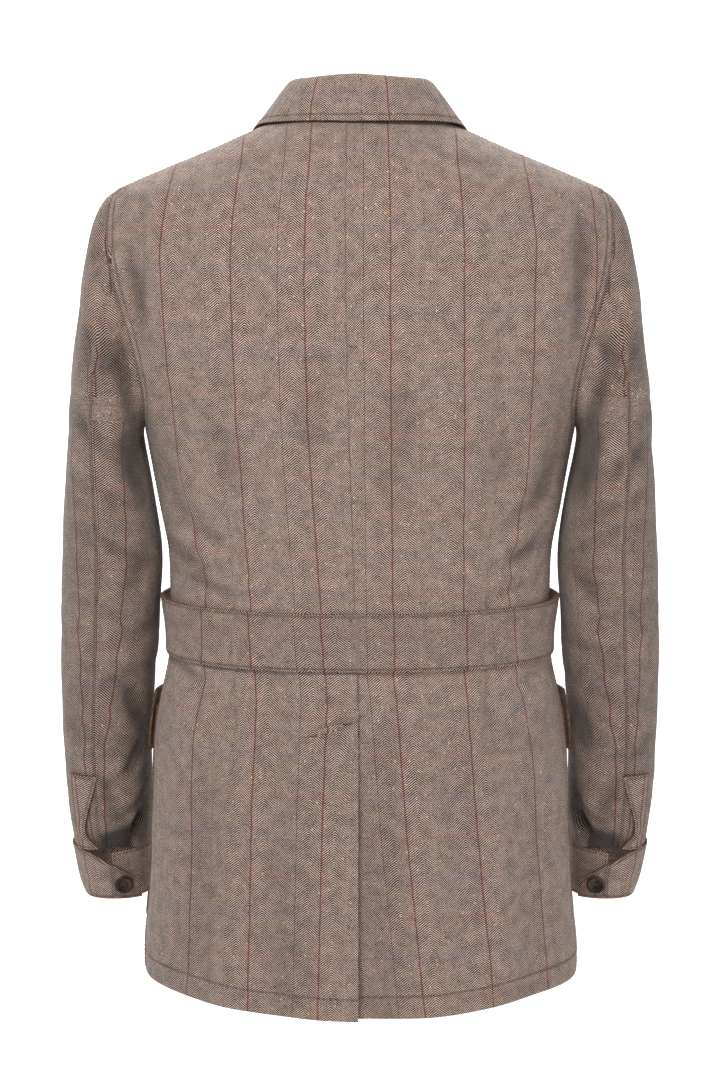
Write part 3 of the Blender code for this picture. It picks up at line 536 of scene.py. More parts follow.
body_tree = tree_of("back_left", "front_left")
RADII = np.array([ring_radius(body_tree, z) for z in HEIGHTS])
RING_X = RADII * np.cos(np.radians(ANGLES))
RING_Y = RADII * np.sin(np.radians(ANGLES))
STEPS = np.hypot(np.diff(RING_X), np.diff(RING_Y))
FROM_FRONT = np.hstack([np.zeros((len(HEIGHTS), 1)), np.cumsum(STEPS, axis=1)])
print("half the waist measures", round(float(FROM_FRONT[:, -1].min()), 3), "m")


def table_at(table, z, angle):
    """Value of a ring table between its heights and angles."""
    row = np.clip((z - HEIGHTS[0]) / (HEIGHTS[1] - HEIGHTS[0]), 0.0, len(HEIGHTS) - 1.001)
    column = np.clip((angle - ANGLES[0]) / (ANGLES[1] - ANGLES[0]), 0.0, len(ANGLES) - 1.001)
    i, j = row.astype(int), column.astype(int)
    up, side = row - i, column - j
    return ((table[i, j] * (1 - side) + table[i, j + 1] * side) * (1 - up)
            + (table[i + 1, j] * (1 - side) + table[i + 1, j + 1] * side) * up)


def tape(points, face):
    """Tape length from the centre back (or front) line, and height along the cloth."""
    x, y, z = np.abs(points[:, 0]), points[:, 1], points[:, 2]
    angle = np.degrees(np.arctan2(y, x))
    low = table_at(FROM_FRONT, z, angle)
    total = table_at(FROM_FRONT, z, np.full(len(z), 90.0))
    if face == "back":
        low = total - low
    top = len(HEIGHTS) - 1
    half = ANGLES >= 0.0 if face == "back" else ANGLES <= 0.0
    ring_x, ring_y, lengths = RING_X[top][half], RING_Y[top][half], FROM_FRONT[top][half]
    if face == "back":
        lengths = FROM_FRONT[top][-1] - lengths
    order = np.argsort(ring_x)
    high = np.interp(x, ring_x[order], lengths[order])
    level_y = np.interp(x, ring_x[order], ring_y[order])
    above = z > SHOULDER_HEIGHT
    height = np.where(above, SHOULDER_HEIGHT + np.hypot(z - SHOULDER_HEIGHT, y - level_y), z)
    return np.where(above, high, low), height


# %% [markdown]
# ## Creases
#
# Creases are placed as rows of a short table: where each starts and ends in elevation, how wide
# and how deep it is, in millimetres. A pulled fold is a furrow with a soft ridge beside it, so one formula
# makes both. The two halves get different rows, because no jacket hangs evenly.

# %% Crease tables of the body
Crease = namedtuple("Crease", "x_start z_start x_end z_end width depth")
BACK_CREASES = {
    "left": [
        (162, -352, 118, -372, 8, 2.6), (155, -372, 96, -388, 6, 2.2),
        (148, -318, 112, -346, 9, 1.8), (166, -268, 150, -330, 11, 2.0),
        (60, -388, 12, -391, 5, 1.2), (45, -500, 3, -487, 4.5, 3.0),
        (30, -473, 6, -469, 4, 1.3), (160, -452, 128, -461, 6, 2.2),
        (92, -456, 60, -452, 7, 1.2), (104, -462, 108, -506, 5, 1.6),
        (182, -44, 176, -128, 7, 2.4), (196, -70, 180, -178, 10, 2.6),
        (70, -18, 128, -30, 9, 1.4), (30, -150, 44, -300, 26, 1.6),
        (118, -200, 108, -330, 20, 1.8), (62, -520, 58, -735, 20, 1.6),
        (128, -530, 140, -735, 20, 2.2),
    ],
    "right": [
        (158, -340, 116, -366, 8, 2.4), (150, -378, 100, -390, 6, 2.0),
        (152, -300, 118, -332, 9, 1.6), (168, -262, 148, -322, 11, 2.2),
        (52, -384, 18, -389, 6, 1.2), (158, -456, 122, -466, 6, 1.8),
        (112, -520, 104, -460, 5, 1.8), (184, -48, 178, -134, 7, 2.0),
        (194, -76, 178, -186, 10, 2.4), (66, -20, 122, -34, 9, 1.6),
        (34, -170, 30, -320, 26, 1.8), (112, -190, 118, -320, 20, 1.6),
        (22, -500, 30, -735, 14, 1.8), (84, -530, 96, -735, 22, 1.8),
        (142, -540, 150, -735, 18, 1.8),
    ],
}
FRONT_CREASES = {
    "left": [
        (158, -350, 112, -372, 8, 2.4), (150, -376, 84, -390, 6, 1.8),
        (190, -80, 172, -180, 10, 2.2), (84, -210, 60, -330, 12, 1.6),
        (40, -380, 16, -350, 6, 1.2), (150, -452, 104, -462, 6, 1.6),
    ],
    "right": [
        (160, -338, 108, -364, 8, 2.2), (146, -380, 90, -391, 6, 1.8),
        (188, -74, 174, -172, 10, 2.4), (78, -220, 64, -318, 12, 1.8),
        (44, -372, 20, -344, 6, 1.4), (146, -456, 96, -464, 6, 1.4),
    ],
}


def smooth(values, low, high):
    """From 0 below the low value to 1 above the high one, without a kink."""
    share = np.clip((values - low) / (high - low), 0.0, 1.0)
    return share * share * (3.0 - 2.0 * share)


def furrow(across, down, rows):
    """Depth in metres of all creases of a table at places given in metres."""
    total = np.zeros(len(across))
    for row in map(Crease._make, rows):
        run = np.array([row.x_end - row.x_start, row.z_end - row.z_start]) * MM
        from_start = np.stack([across - row.x_start * MM, down - row.z_start * MM], axis=1)
        share = np.clip(from_start @ run / (run @ run), 0.0, 1.0)
        off = from_start - share[:, None] * run
        sideways = (off[:, 0] * run[1] - off[:, 1] * run[0]) / np.linalg.norm(run) / (row.width * MM)
        beyond = np.hypot(off[:, 0], off[:, 1]) / (row.width * MM)
        envelope = 0.25 + 0.75 * np.sin(math.pi * np.clip(0.08 + 0.86 * share, 0.0, 1.0))
        valley = np.exp(-beyond ** 2)
        ridge = 0.45 * np.exp(-(sideways - 1.7) ** 2 - (beyond ** 2 - sideways ** 2).clip(0.0))
        total += row.depth * MM * envelope * (valley - ridge)
    return total


def uneven(points, size):
    """Slow waves that keep large surfaces from looking machined."""
    x, y, z = points[:, 0], points[:, 1], points[:, 2]
    return size * (np.sin(41.0 * z + 23.0 * x + 0.7) * np.cos(37.0 * x - 29.0 * y + 11.0 * z)
                   + 0.6 * np.sin(83.0 * z - 57.0 * x + 1.9 + 31.0 * y))


# %% [markdown]
# ## Stitch rows
#
# Topstitching follows the edges of a piece at a set distance. Every point of a piece gets its distance
# from those edges, less the row's distance, as an attribute: it is zero on the row. The shader presses
# the cloth in there and darkens it with painted shade, and the same zero line is followed over the faces to
# lay real stitches on it.

# %% Distances from chosen edges
FAR = 1.0


def edge_samples(piece, chosen):
    """Points every millimetre or so along the open edges that a test picks."""
    mesh = piece.data
    uses = {}
    for polygon in mesh.polygons:
        for key in polygon.edge_keys:
            uses[key] = uses.get(key, 0) + 1
    samples = []
    for (a, b), count in uses.items():
        if count == 1:
            start, end = mesh.vertices[a].co, mesh.vertices[b].co
            if chosen((start + end) / 2.0, (end - start).normalized()):
                pieces = max(int((end - start).length / MM), 1)
                samples += [start.lerp(end, k / pieces) for k in range(pieces + 1)]
    return samples


def any_edge(middle, direction):
    return True


def distance_from(piece, chosen):
    """Distance of every point of a piece from its chosen edges."""
    samples = edge_samples(piece, chosen)
    if not samples:
        return np.full(len(piece.data.vertices), FAR)
    tree = KDTree(len(samples))
    for i, sample in enumerate(samples):
        tree.insert(sample, i)
    tree.balance()
    return np.array([tree.find(vertex.co)[2] for vertex in piece.data.vertices])


def nearest_row(fields):
    """Of several signed distances, the one that is nearest to its row at each point."""
    stack = np.array(fields)
    return stack[np.abs(stack).argmin(axis=0), np.arange(stack.shape[1])]


def store(piece, name, values):
    attribute = piece.data.attributes.new(name, "FLOAT", "POINT")
    attribute.data.foreach_set("value", values.astype(np.float32))


# %% Follow a row over the faces
def row_lines(piece, values):
    """Chains of points where a field is zero on a piece's faces."""
    mesh = piece.data
    crossing, links = {}, {}
    for polygon in mesh.polygons:
        cut = []
        for a, b in polygon.edge_keys:
            if (values[a] > 0.0) != (values[b] > 0.0) and abs(values[a]) < 0.02 and abs(values[b]) < 0.02:
                share = values[a] / (values[a] - values[b])
                crossing[(a, b)] = mesh.vertices[a].co.lerp(mesh.vertices[b].co, float(share))
                cut.append((a, b))
        if len(cut) == 2:
            links.setdefault(cut[0], []).append(cut[1])
            links.setdefault(cut[1], []).append(cut[0])
    lines, done = [], set()
    for start in sorted(links, key=lambda key: len(links[key])):
        if start in done:
            continue
        chain, here = [], start
        while here is not None:
            done.add(here)
            chain.append(crossing[here])
            here = next((other for other in links[here] if other not in done), None)
        if len(chain) > 3:
            lines.append(chain)
    return lines


def spaced_points(chain, pitch):
    """Points at even steps along a chain, with the direction at each."""
    points = np.array([list(point) for point in chain])
    lengths = np.concatenate([[0.0], np.cumsum(np.linalg.norm(np.diff(points, axis=0), axis=1))])
    stations = np.arange(pitch / 2.0, lengths[-1], pitch)

    def at(stretch):
        return np.stack([np.interp(stretch, lengths, points[:, k]) for k in range(3)], axis=1)

    return at(stations), at(stations + pitch / 4.0) - at(stations - pitch / 4.0)


# %% [markdown]
# One stitch is a short thread that dips into the cloth at both ends. It is modelled once, from a
# cylinder with its ends pulled down, and copied along every row.

# %% Model one stitch
STITCH_LENGTH = 0.0027
STITCH_PITCH = 0.0038
THREAD = 0.00028

bpy.ops.mesh.primitive_cylinder_add(vertices=6, radius=THREAD, depth=STITCH_LENGTH, end_fill_type="TRIFAN",
                                    rotation=(0.0, math.radians(90.0), 0.0))
stitch = bpy.context.object
bpy.ops.object.transform_apply(location=False, rotation=True, scale=False)
bpy.ops.object.mode_set(mode="EDIT")
bpy.ops.mesh.select_all(action="SELECT")
bpy.ops.mesh.bisect(plane_co=(0.0, 0.0, 0.0), plane_no=(1.0, 0.0, 0.0))
bpy.ops.object.mode_set(mode="OBJECT")
STITCH_POINTS = points_of(stitch)
STITCH_POINTS[:, 2] -= 0.9 * THREAD * (2.0 * STITCH_POINTS[:, 0] / STITCH_LENGTH) ** 2
STITCH_FACES = [list(polygon.vertices) for polygon in stitch.data.polygons]
bpy.data.objects.remove(stitch)
print("one stitch has", len(STITCH_FACES), "faces")


def thread_material():
    """Twisted tan sewing thread with a soft shine."""
    material, shader, start = new_material("tan_thread", Roughness=0.55)
    place = start.own_place()
    twist = place.noise(1800.0, 1.0)
    thread = twist.ramp(0.35, 0.65).blend(colour(0.11, 0.052, 0.028), colour(0.30, 0.16, 0.085))
    thread.into(shader, "Base Color")
    twist.bump(0.4, 0.0001).into(shader, "Normal")
    return material


thread = thread_material()


def sew(piece, rows):
    """Object with all the stitches of a piece's rows, lying on its outer side."""
    tree = BVHTree.FromPolygons([vertex.co for vertex in piece.data.vertices],
                                [list(polygon.vertices) for polygon in piece.data.polygons])
    corners, faces = [], []
    for chain in rows:
        at, along = spaced_points(chain, STITCH_PITCH)
        for place, direction in zip(at, along):
            hit, normal, index, distance = tree.find_nearest(Vector(place))
            forward = Vector(direction).normalized()
            side = normal.cross(forward).normalized()
            turn = np.array([forward, side, forward.cross(side)])
            first = len(corners) * len(STITCH_POINTS)
            corners.append(STITCH_POINTS @ turn + np.array(place) + np.array(normal) * 0.6 * THREAD)
            faces += [[first + index for index in face] for face in STITCH_FACES]
    if not corners:
        return None
    mesh = bpy.data.meshes.new("stitches_" + piece.name)
    mesh.from_pydata(np.concatenate(corners).tolist(), [], faces)
    mesh.update()
    mesh.materials.append(thread)
    stitches = add_object(piece.name.replace("cloth_", "stitches_"), mesh)
    select_only(stitches)
    bpy.ops.object.mode_set(mode="EDIT")
    bpy.ops.mesh.select_all(action="SELECT")
    bpy.ops.mesh.normals_make_consistent(inside=False)
    bpy.ops.object.mode_set(mode="OBJECT")
    bpy.ops.object.shade_smooth()
    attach(stitches, "root")
    return stitches


# %% [markdown]
# ## Finishing a piece
#
# Every sheet gets its weave map, its stitch rows and its stitches, and then its thickness: Solidify adds
# the inner side and the rim. The weave map is stored first, so that both sides and the rim carry it. The
# flat cut is the box of the weave map, made as large as the sheet's area needs.

# %% Weave map, rows, thickness and cut size
CUTS = {}


def weave_map(piece, across, along):
    """UV map in metres: across and along the grain of the cloth."""
    layer = piece.data.uv_layers.new(name="weave")
    corner = np.empty(len(piece.data.loops), dtype=int)
    piece.data.loops.foreach_get("vertex_index", corner)
    layer.data.foreach_set("uv", np.stack([across[corner], along[corner]], axis=1).ravel())


def finish_cloth(piece, node, across, along, row_a=(), row_b=(), depth=None, pinch=None, thickness=1.9):
    """Weave, rows, stitches and thickness of a sheet, and its cut as a flat piece."""
    count = len(piece.data.vertices)
    near = nearest_row(row_a) if len(row_a) else np.full(count, FAR)
    further = nearest_row(row_b) if len(row_b) else np.full(count, FAR)
    weave_map(piece, across, along)
    store(piece, "row_a", near)
    store(piece, "row_b", further)
    deep = np.zeros(count) if depth is None else depth
    # painted shade: the deeper the fold, the darker the cloth is drawn
    store(piece, "fold", smooth(deep, 0.0008, 0.0055) + 0.4 * smooth(deep, 0.0055, 0.0100))
    store(piece, "pinch", np.full(count, FAR) if pinch is None else pinch)

    # the box of the flat cut, made large enough for the area and rounded up
    area = sum(polygon.area for polygon in piece.data.polygons)
    width = float(across.max() - across.min())
    length = float(along.max() - along.min())
    grow = max(math.sqrt(area / (width * length)), 1.0)
    flat = (round(width * grow, 4), round(length * grow + 0.0001, 4))

    stitches = sew(piece, row_lines(piece, near) + row_lines(piece, further))
    wall = piece.modifiers.new("wall", "SOLIDIFY")
    wall.thickness = thickness * MM
    wall.offset = -1.0
    wall.use_even_offset = True
    wall.material_offset_rim = 1
    piece.data.materials.clear()
    piece.data.materials.append(tweed)
    piece.data.materials.append(folded_edge)
    for polygon in piece.data.polygons:
        polygon.material_index = 0
    apply_modifiers(piece)
    piece.data.shade_smooth()
    piece.data.set_sharp_from_angle(angle=math.radians(50.0))
    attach(piece, "root")
    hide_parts(node)
    CUTS[node] = (flat, round(area, 4))
    print(piece.name, "cut", flat, "m,", len(piece.data.polygons), "faces")


# %% [markdown]
# ## The back
#
# Two halves meet in a centre seam, which opens into a vent below the belt, left over right. The red
# stripe beside the seam swings with the shaping of the waist and the flare of the skirt, so its path is
# a short table; all other stripes follow from it by tape. A fish-eye dart takes cloth out at the waist,
# and there the pattern jumps. A path's rows are heights and distances from the centre line, in millimetres.

# %% Paths of the centre seam, the first red stripes and the dart
SEAM_PATH = [(20, 11), (-60, 12), (-135, 11.6), (-250, 9), (-384, 4.6), (-480, 1.2)]
RED_PATHS = {
    "left": [(30, 40), (0, 43.5), (-58, 45.6), (-135, 45.6), (-244, 43.1), (-384, 33.4),
             (-472, 27.5), (-565, 31.5), (-660, 34), (-742, 36)],
    "right": [(30, 23.0), (-10, 25.2), (-58, 25.3), (-135, 24.9), (-384, 27.4),
              (-450, 28.2), (-472, 31.5), (-588, 40.6), (-660, 48), (-742, 56)],
}
DART_PATH = [(-233, 121), (-354, 107), (-430, 106), (-511, 106.5)]
DART_INTAKE = 0.016
PANE_HEIGHT = {"left": -0.0420, "right": -0.0080}     # height of a blue line on each half


def on_path(path, z):
    """Distance from the centre line that a path gives at a height, both in metres."""
    heights, distances = np.array(sorted(path)).T * MM
    return np.interp(z, heights, distances)


def mirror_of(side):
    return 1.0 if side == "left" else -1.0


def back_weave(points, side):
    """Across and along the grain of the back, matched to the stripes' paths."""
    length, height = tape(points, "back")
    length = length * np.sign(points[:, 0] * mirror_of(side))
    dart = np.clip(1.0 - np.abs(points[:, 2] + 0.40) / 0.14, 0.0, 1.0)
    beyond = smooth(length, on_path(DART_PATH, points[:, 2]) - 0.0012,
                    on_path(DART_PATH, points[:, 2]) + 0.0012)
    length = length + DART_INTAKE * smooth(dart, 0.0, 1.0) * beyond
    shoulder = 1.0 + 0.07 * smooth(points[:, 2], -0.10, 0.0)
    from_red = length * shoulder - on_path(RED_PATHS[side], points[:, 2])
    return RED_STRIPE - mirror_of(side) * from_red, height - PANE_HEIGHT[side] + PANE / 2.0


def is_hem(middle, direction):
    return middle.z < -0.715 and abs(direction.z) < 0.6


def is_side(middle, direction):
    return abs(middle.x) > 0.14 and abs(direction.z) > 0.5 and middle.z < -0.04


def is_shoulder(middle, direction):
    return middle.z > -0.055 and abs(middle.y) < 0.03 and abs(middle.x) > 0.07


def is_vent(middle, direction):
    return abs(middle.x) < 0.060 and middle.z < -0.474 and abs(direction.z) > 0.6


def is_centre_seam(middle, direction):
    return abs(middle.x) < 0.020 and middle.z > -0.474 and abs(direction.z) > 0.6


# a sharp pulled crease runs down and away from the top of the vent, on the left half; its dark line is
# painted shade
PULL_PATH = [(-501, 44), (-496.5, 28), (-492.5, 20), (-490, 13), (-488.5, 2)]


def from_crease(x, z, path, width):
    """Signed distance from a sharp crease given by a path; it thins out towards both ends."""
    heights, reach = np.array(sorted(path, key=lambda row: row[1])).T * MM
    share = (x - reach[0]) / (reach[-1] - reach[0])
    off = z - np.interp(x, reach, heights)
    thinner = np.sign(off) * width * (2.0 * np.abs(share - 0.5)) ** 3
    return np.where((share < 0.0) | (share > 1.0), FAR, off + thinner)


VENT_TOP = -0.465
SEAM_OPENING = 0.0012
HEM_ROW = 0.019
SEAM_ROW = 0.0016
SECOND_ROW = 0.0072


def vent_depth(x, z, side):
    """The right half swings in behind the vent's edge; the left half's edge lifts a little."""
    below = smooth(-z, 0.482, 0.60)
    if side == "right":
        return 0.0052 * below * (1.0 - smooth(-x, 0.0, 0.034)) - 0.0012 * below * smooth(-x, 0.02, 0.06)
    return -0.0014 * below * (1.0 - smooth(x, 0.0, 0.022))


def close_centre_seam(points, mirror):
    """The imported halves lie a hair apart; above the vent their edges are drawn together."""
    upper = (points[:, 2] > VENT_TOP) & (mirror * points[:, 0] > -0.0005)
    from_centre = mirror * points[upper, 0]
    closed = from_centre - SEAM_OPENING * (1.0 - smooth(from_centre, 0.0006, 0.010))
    points[upper, 0] = mirror * np.maximum(closed, 0.0)
    print("the centre seam was open by", round(float(from_centre.min()) / MM, 2), "mm")


def make_back(side):
    node = "back_" + side
    piece = subdivided_sheet(node)
    points, normals = points_of(piece), normals_of(piece)
    z = points[:, 2]
    mirror = mirror_of(side)
    close_centre_seam(points, mirror)
    points[:, 0] += on_path(SEAM_PATH, z) * (1.0 - smooth(np.abs(points[:, 0]), 0.010, 0.075))
    x = points[:, 0].copy()
    across, along = back_weave(points, side)
    depth = 1.5 * furrow(x * mirror, z, BACK_CREASES[side]) + uneven(points, 0.0006)
    held = distance_from(piece, lambda middle, direction: not (is_hem(middle, direction)
                                                               or is_vent(middle, direction)))
    hem_wave = 0.0012 * np.sin(x * 58.0 + 0.8) * smooth(-z, 0.60, 0.74)
    depth = (depth - hem_wave + vent_depth(x, z, side)) * smooth(held, 0.0, 0.012)
    centre = distance_from(piece, is_centre_seam)
    move_points(piece, points - normals * (depth + 0.0005 * np.exp(-(centre / 0.0012) ** 2))[:, None])
    hem = distance_from(piece, is_hem) - HEM_ROW
    side_seam = distance_from(piece, is_side)
    shoulder = distance_from(piece, is_shoulder)
    # the dart and the centre seam get a dark line of painted shade through row_b, without stitches
    dart = np.abs(x * mirror - on_path(DART_PATH, z)) + 0.02 * smooth(np.abs(z + 0.372), 0.132, 0.142)
    pinch = from_crease(x, z, PULL_PATH, 0.0028) if side == "left" else None
    # painted shade from fold depth: on the skirt the folds are evened out and the whole skirt is darkened a
    # little, and the right side of the vent is darkened less than it sinks
    skirt = smooth(-z, 0.44, 0.50)
    shade = depth - 0.55 * np.maximum(vent_depth(x, z, side), 0.0)
    finish_cloth(piece, node, across, along,
                 row_a=[hem, side_seam - SEAM_ROW, shoulder - SEAM_ROW],
                 row_b=[side_seam - SECOND_ROW, centre + 0.0004, dart + 0.0004],
                 depth=shade * (1.0 - 0.7 * skirt) + 0.0017 * skirt, pinch=pinch)


for side in SIDES:
    make_back(side)

# %% [markdown]
# ## The fronts
#
# The fronts hang from the shoulder seams to the hem, with the buttoning edge at the centre. They are
# out of the photograph's view and get the same cloth, quieter creases and a topstitched edge.

# %% Make the fronts
RED_FROM_CENTRE = 0.052
FRONT_EDGE_ROW = 0.0055


def front_weave(points, side):
    """Across and along the grain of a front; one red stripe runs straight down."""
    length, height = tape(points, "front")
    length = length * np.sign(points[:, 0] * mirror_of(side))
    from_red = length - RED_FROM_CENTRE
    return RED_STRIPE + mirror_of(side) * from_red, height - PANE_HEIGHT[side] + PANE / 2.0


def is_front_edge(middle, direction):
    return abs(middle.x) < 0.03 and middle.z < -0.20 and abs(direction.z) > 0.5


def make_front(side):
    node = "front_" + side
    piece = subdivided_sheet(node)
    points, normals = points_of(piece), normals_of(piece)
    across, along = front_weave(points, side)
    from_centre = points[:, 0] * mirror_of(side)
    depth = furrow(from_centre, points[:, 2], FRONT_CREASES[side]) + uneven(points, 0.00035)
    free = smooth(distance_from(piece, lambda middle, direction: not is_hem(middle, direction)), 0.0, 0.012)
    under_pocket = smooth(np.abs(points[:, 0]), 0.030, 0.050) * smooth(-points[:, 2], 0.470, 0.482)
    under_chest = (smooth(np.abs(points[:, 0]), 0.040, 0.055) * smooth(-points[:, 2], 0.150, 0.165)
                   * smooth(points[:, 2], -0.320, -0.300))
    bared = 1.0 - np.clip(under_pocket + under_chest, 0.0, 1.0)
    under_belt = 1.0 - smooth(-points[:, 2], 0.380, 0.395) * smooth(points[:, 2], -0.462, -0.448)
    move_points(piece, points - normals * (np.maximum(depth, -0.0003) * free * bared * under_belt)[:, None])
    hem = distance_from(piece, is_hem) - HEM_ROW
    edge = distance_from(piece, is_front_edge) - FRONT_EDGE_ROW
    side_seam = distance_from(piece, is_side)
    finish_cloth(piece, node, across, along, row_a=[hem, edge, side_seam - SEAM_ROW])


for side in SIDES:
    make_front(side)

# %% [markdown]
# ## Sleeves
#
# Each sleeve is cut as a top and an under piece. The stripes run along each piece, so they meet the seams
# at a slant and close in towards the wrist. The tape here runs round the sleeve from its back seam.

# %% The sleeve's centre line and tape
SLEEVE_LEVELS = np.arange(-0.70, -0.045, 0.012)


def sleeve_centres(side):
    """Middle of the sleeve at each level, from the points of both its pieces."""
    nodes = ["sleeve_top_" + side, "sleeve_under_" + side, "cuff_" + side]
    points = np.concatenate([points_of(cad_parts[node]) for node in nodes])
    middles = []
    for z in SLEEVE_LEVELS:
        near = points[np.abs(points[:, 2] - z) < 0.022]
        middles.append((near[:, :2].min(axis=0) + near[:, :2].max(axis=0)) / 2.0)
    return np.array(middles)


def centre_line(side):
    middles = sleeve_centres(side)

    def centre_at(point):
        return Vector((np.interp(point[2], SLEEVE_LEVELS, middles[:, 0]),
                       np.interp(point[2], SLEEVE_LEVELS, middles[:, 1]), point[2]))
    return centre_at


SLEEVE_CENTRE = {side: centre_line(side) for side in SIDES}


def round_sleeve(points, side):
    """Angle in degrees from the outside of the arm towards the back."""
    centres = np.array([SLEEVE_CENTRE[side](point) for point in points])
    away = points - centres
    return np.degrees(np.arctan2(away[:, 1], away[:, 0] * mirror_of(side)))


WRIST_RADIUS = 0.043
ARM_SWELL = 0.016        # how much more the radius is at the upper arm
TOP_START = 0.0600       # places in the repeat where the two pieces begin at their back seam
UNDER_START = 0.0150
SLEEVE_EASE = 0.96       # cloth per height; the arm's curve is eased in
SLEEVE_PANE = 0.0130     # shifts the pane's lines along the arm
SLEEVE_NARROWING = {
    "top": [(-360, 0), (-420, 3.5), (-489, 9), (-525, 12), (-640, 14)],
    "under": [(-378, 0), (-420, 3), (-446, 6), (-481, 9.5), (-513, 13), (-537, 17),
              (-640, 20)],
}


def sleeve_weave(points, side, back_seam, top):
    """Across: distance round the sleeve from its back seam; along: down the arm."""
    angle = round_sleeve(points, side)
    seam_angle = np.interp(points[:, 2], [seam[0] for seam in back_seam], [seam[1] for seam in back_seam])
    turn = (seam_angle - angle + 180.0) % 360.0 - 180.0
    mean_radius = WRIST_RADIUS + ARM_SWELL * smooth(points[:, 2], -0.62, -0.30)
    round_it = np.radians(turn) * mean_radius
    narrowing = on_path(SLEEVE_NARROWING["top" if top else "under"], points[:, 2])
    if top:
        across = TOP_START - round_it - narrowing
    else:
        across = UNDER_START - round_it + narrowing
    if side == "right":
        across = 2.0 * RED_STRIPE - across
    return across, points[:, 2] * SLEEVE_EASE + SLEEVE_PANE


def seam_angles(side, piece):
    """Height and angle of the back seam, read from the edge of a sleeve piece."""
    samples = np.array([list(sample) for sample in edge_samples(piece, any_edge)])
    angle = round_sleeve(samples, side)
    low = samples[:, 2] < -0.22
    seam = (angle > 40.0) & (angle < 130.0) & low & (samples[:, 2] > -0.63)
    order = np.argsort(samples[seam][:, 2])
    return list(zip(samples[seam][order][:, 2], angle[seam][order]))


# %% [markdown]
# The creases of a sleeve are given by their angle round the arm, so one table serves both pieces. The
# deepest lie in the crook of the elbow and behind the armpit, and short ones ring the cuff.

# %% Crease table of the sleeves
Ring = namedtuple("Ring", "angle z half_angle half_height slant depth")
SLEEVE_CREASES = {
    "left": [
        (88, -300, 36, 7, 0.55, 1.8), (104, -352, 40, 6, 0.42, 2.2), (80, -402, 44, 6, 0.30, 1.6),
        (118, -428, 40, 6, -0.25, 2.2), (96, -470, 34, 7, -0.35, 1.6), (70, -520, 30, 8, 0.40, 1.2),
        (112, -560, 34, 6, -0.55, 2.4), (122, -592, 30, 5, -0.60, 2.8), (104, -618, 34, 5, -0.35, 2.4),
        (20, -250, 26, 12, 0.30, 1.2), (-30, -420, 40, 7, 0.20, 1.8), (-60, -380, 40, 7, 0.30, 1.8),
        (-80, -455, 36, 7, -0.20, 1.4), (40, -600, 24, 8, 0.50, 1.2), (160, -460, 30, 8, 0.10, 2.0),
        (84, -180, 22, 22, 0.60, 2.6), (62, -235, 26, 10, 0.50, 1.6),
    ],
    "right": [
        (84, -310, 36, 7, 0.50, 2.0), (108, -345, 38, 6, 0.45, 1.8), (92, -410, 44, 6, 0.25, 1.8),
        (112, -440, 36, 7, -0.30, 2.0), (88, -488, 34, 7, -0.30, 1.4), (66, -535, 30, 8, 0.45, 1.2),
        (114, -566, 34, 6, -0.50, 2.2), (120, -598, 32, 5, -0.55, 2.6), (100, -622, 34, 5, -0.30, 2.2),
        (24, -262, 26, 12, 0.30, 1.2), (-36, -410, 40, 7, 0.25, 1.8), (-66, -372, 40, 7, 0.30, 1.6),
        (-76, -448, 36, 7, -0.25, 1.4), (36, -590, 24, 8, 0.45, 1.2), (158, -470, 30, 8, 0.10, 2.0),
        (82, -186, 22, 22, 0.55, 2.6), (66, -240, 26, 10, 0.45, 1.8),
    ],
}


SLEEVE_BACK_CREASES = {
    "left": [
        (194, -258, 183, -310, 8, 4.6), (206, -184, 200, -200, 6, 1.8),
        (199, -172, 192, -246, 6, 2.4), (234, -236, 216, -262, 8, 1.4),
        (203, -478, 190, -526, 7, 2.8), (191, -530, 205, -558, 5, 2.8),
        (187, -546, 191, -582, 5, 2.8), (188, -588, 206, -632, 4.5, 4.6),
        (186, -606, 199, -636, 3.5, 3.0), (228, -560, 216, -610, 8, 1.2),
        (186, -360, 200, -392, 8, 1.6), (212, -636, 198, -646, 4, 2.0),
    ],
    "right": [
        (195, -256, 184, -300, 9, 4.6), (236, -264, 213, -284, 8, 2.4),
        (204, -202, 192, -252, 6, 2.4), (203, -174, 209, -188, 5, 1.6),
        (188, -500, 200, -540, 8, 3.2), (187, -562, 195, -600, 5, 3.0),
        (194, -600, 207, -626, 4.5, 4.4), (187, -590, 203, -630, 3.5, 3.2),
        (226, -566, 214, -612, 8, 1.2), (188, -372, 204, -400, 8, 1.6),
        (212, -636, 198, -646, 4, 2.0),
    ],
}


HOLLOW_SHADE = 0.012     # shading depths in metres
SLEEVE_SHADE = 0.0026


def ring_depth(angle, z, rows):
    """Depth in metres of a sleeve's ring creases."""
    total = np.zeros(len(angle))
    for row in map(Ring._make, rows):
        turn = (angle - row.angle + 180.0) % 360.0 - 180.0
        height = (z - row.z * MM + row.slant * turn * MM) / (row.half_height * MM)
        reach = np.exp(-(turn / row.half_angle) ** 2)
        total += row.depth * MM * reach * (np.exp(-height ** 2) - 0.5 * np.exp(-(height - 1.8) ** 2))
    return total


def back_seam_test(side):
    """Test for the edges along the back seam of a sleeve's top piece."""
    def is_back_seam(middle, direction):
        centre = SLEEVE_CENTRE[side](middle)
        turn = math.degrees(math.atan2(middle.y - centre.y, abs(middle.x) - abs(centre.x)))
        return middle.z < -0.20 and 30.0 < turn < 150.0 and abs(direction.z) > 0.5
    return is_back_seam


def cuff_hollow(points):
    """1 where the cloth lies in the shade above the cuff's opening, else 0."""
    shown = np.abs(points[:, 0])
    below = smooth(-points[:, 2] - 0.25 * (shown - 0.22), 0.612, 0.628)
    return below * smooth(shown, 0.202, 0.210) * (1.0 - smooth(shown, 0.226, 0.240))


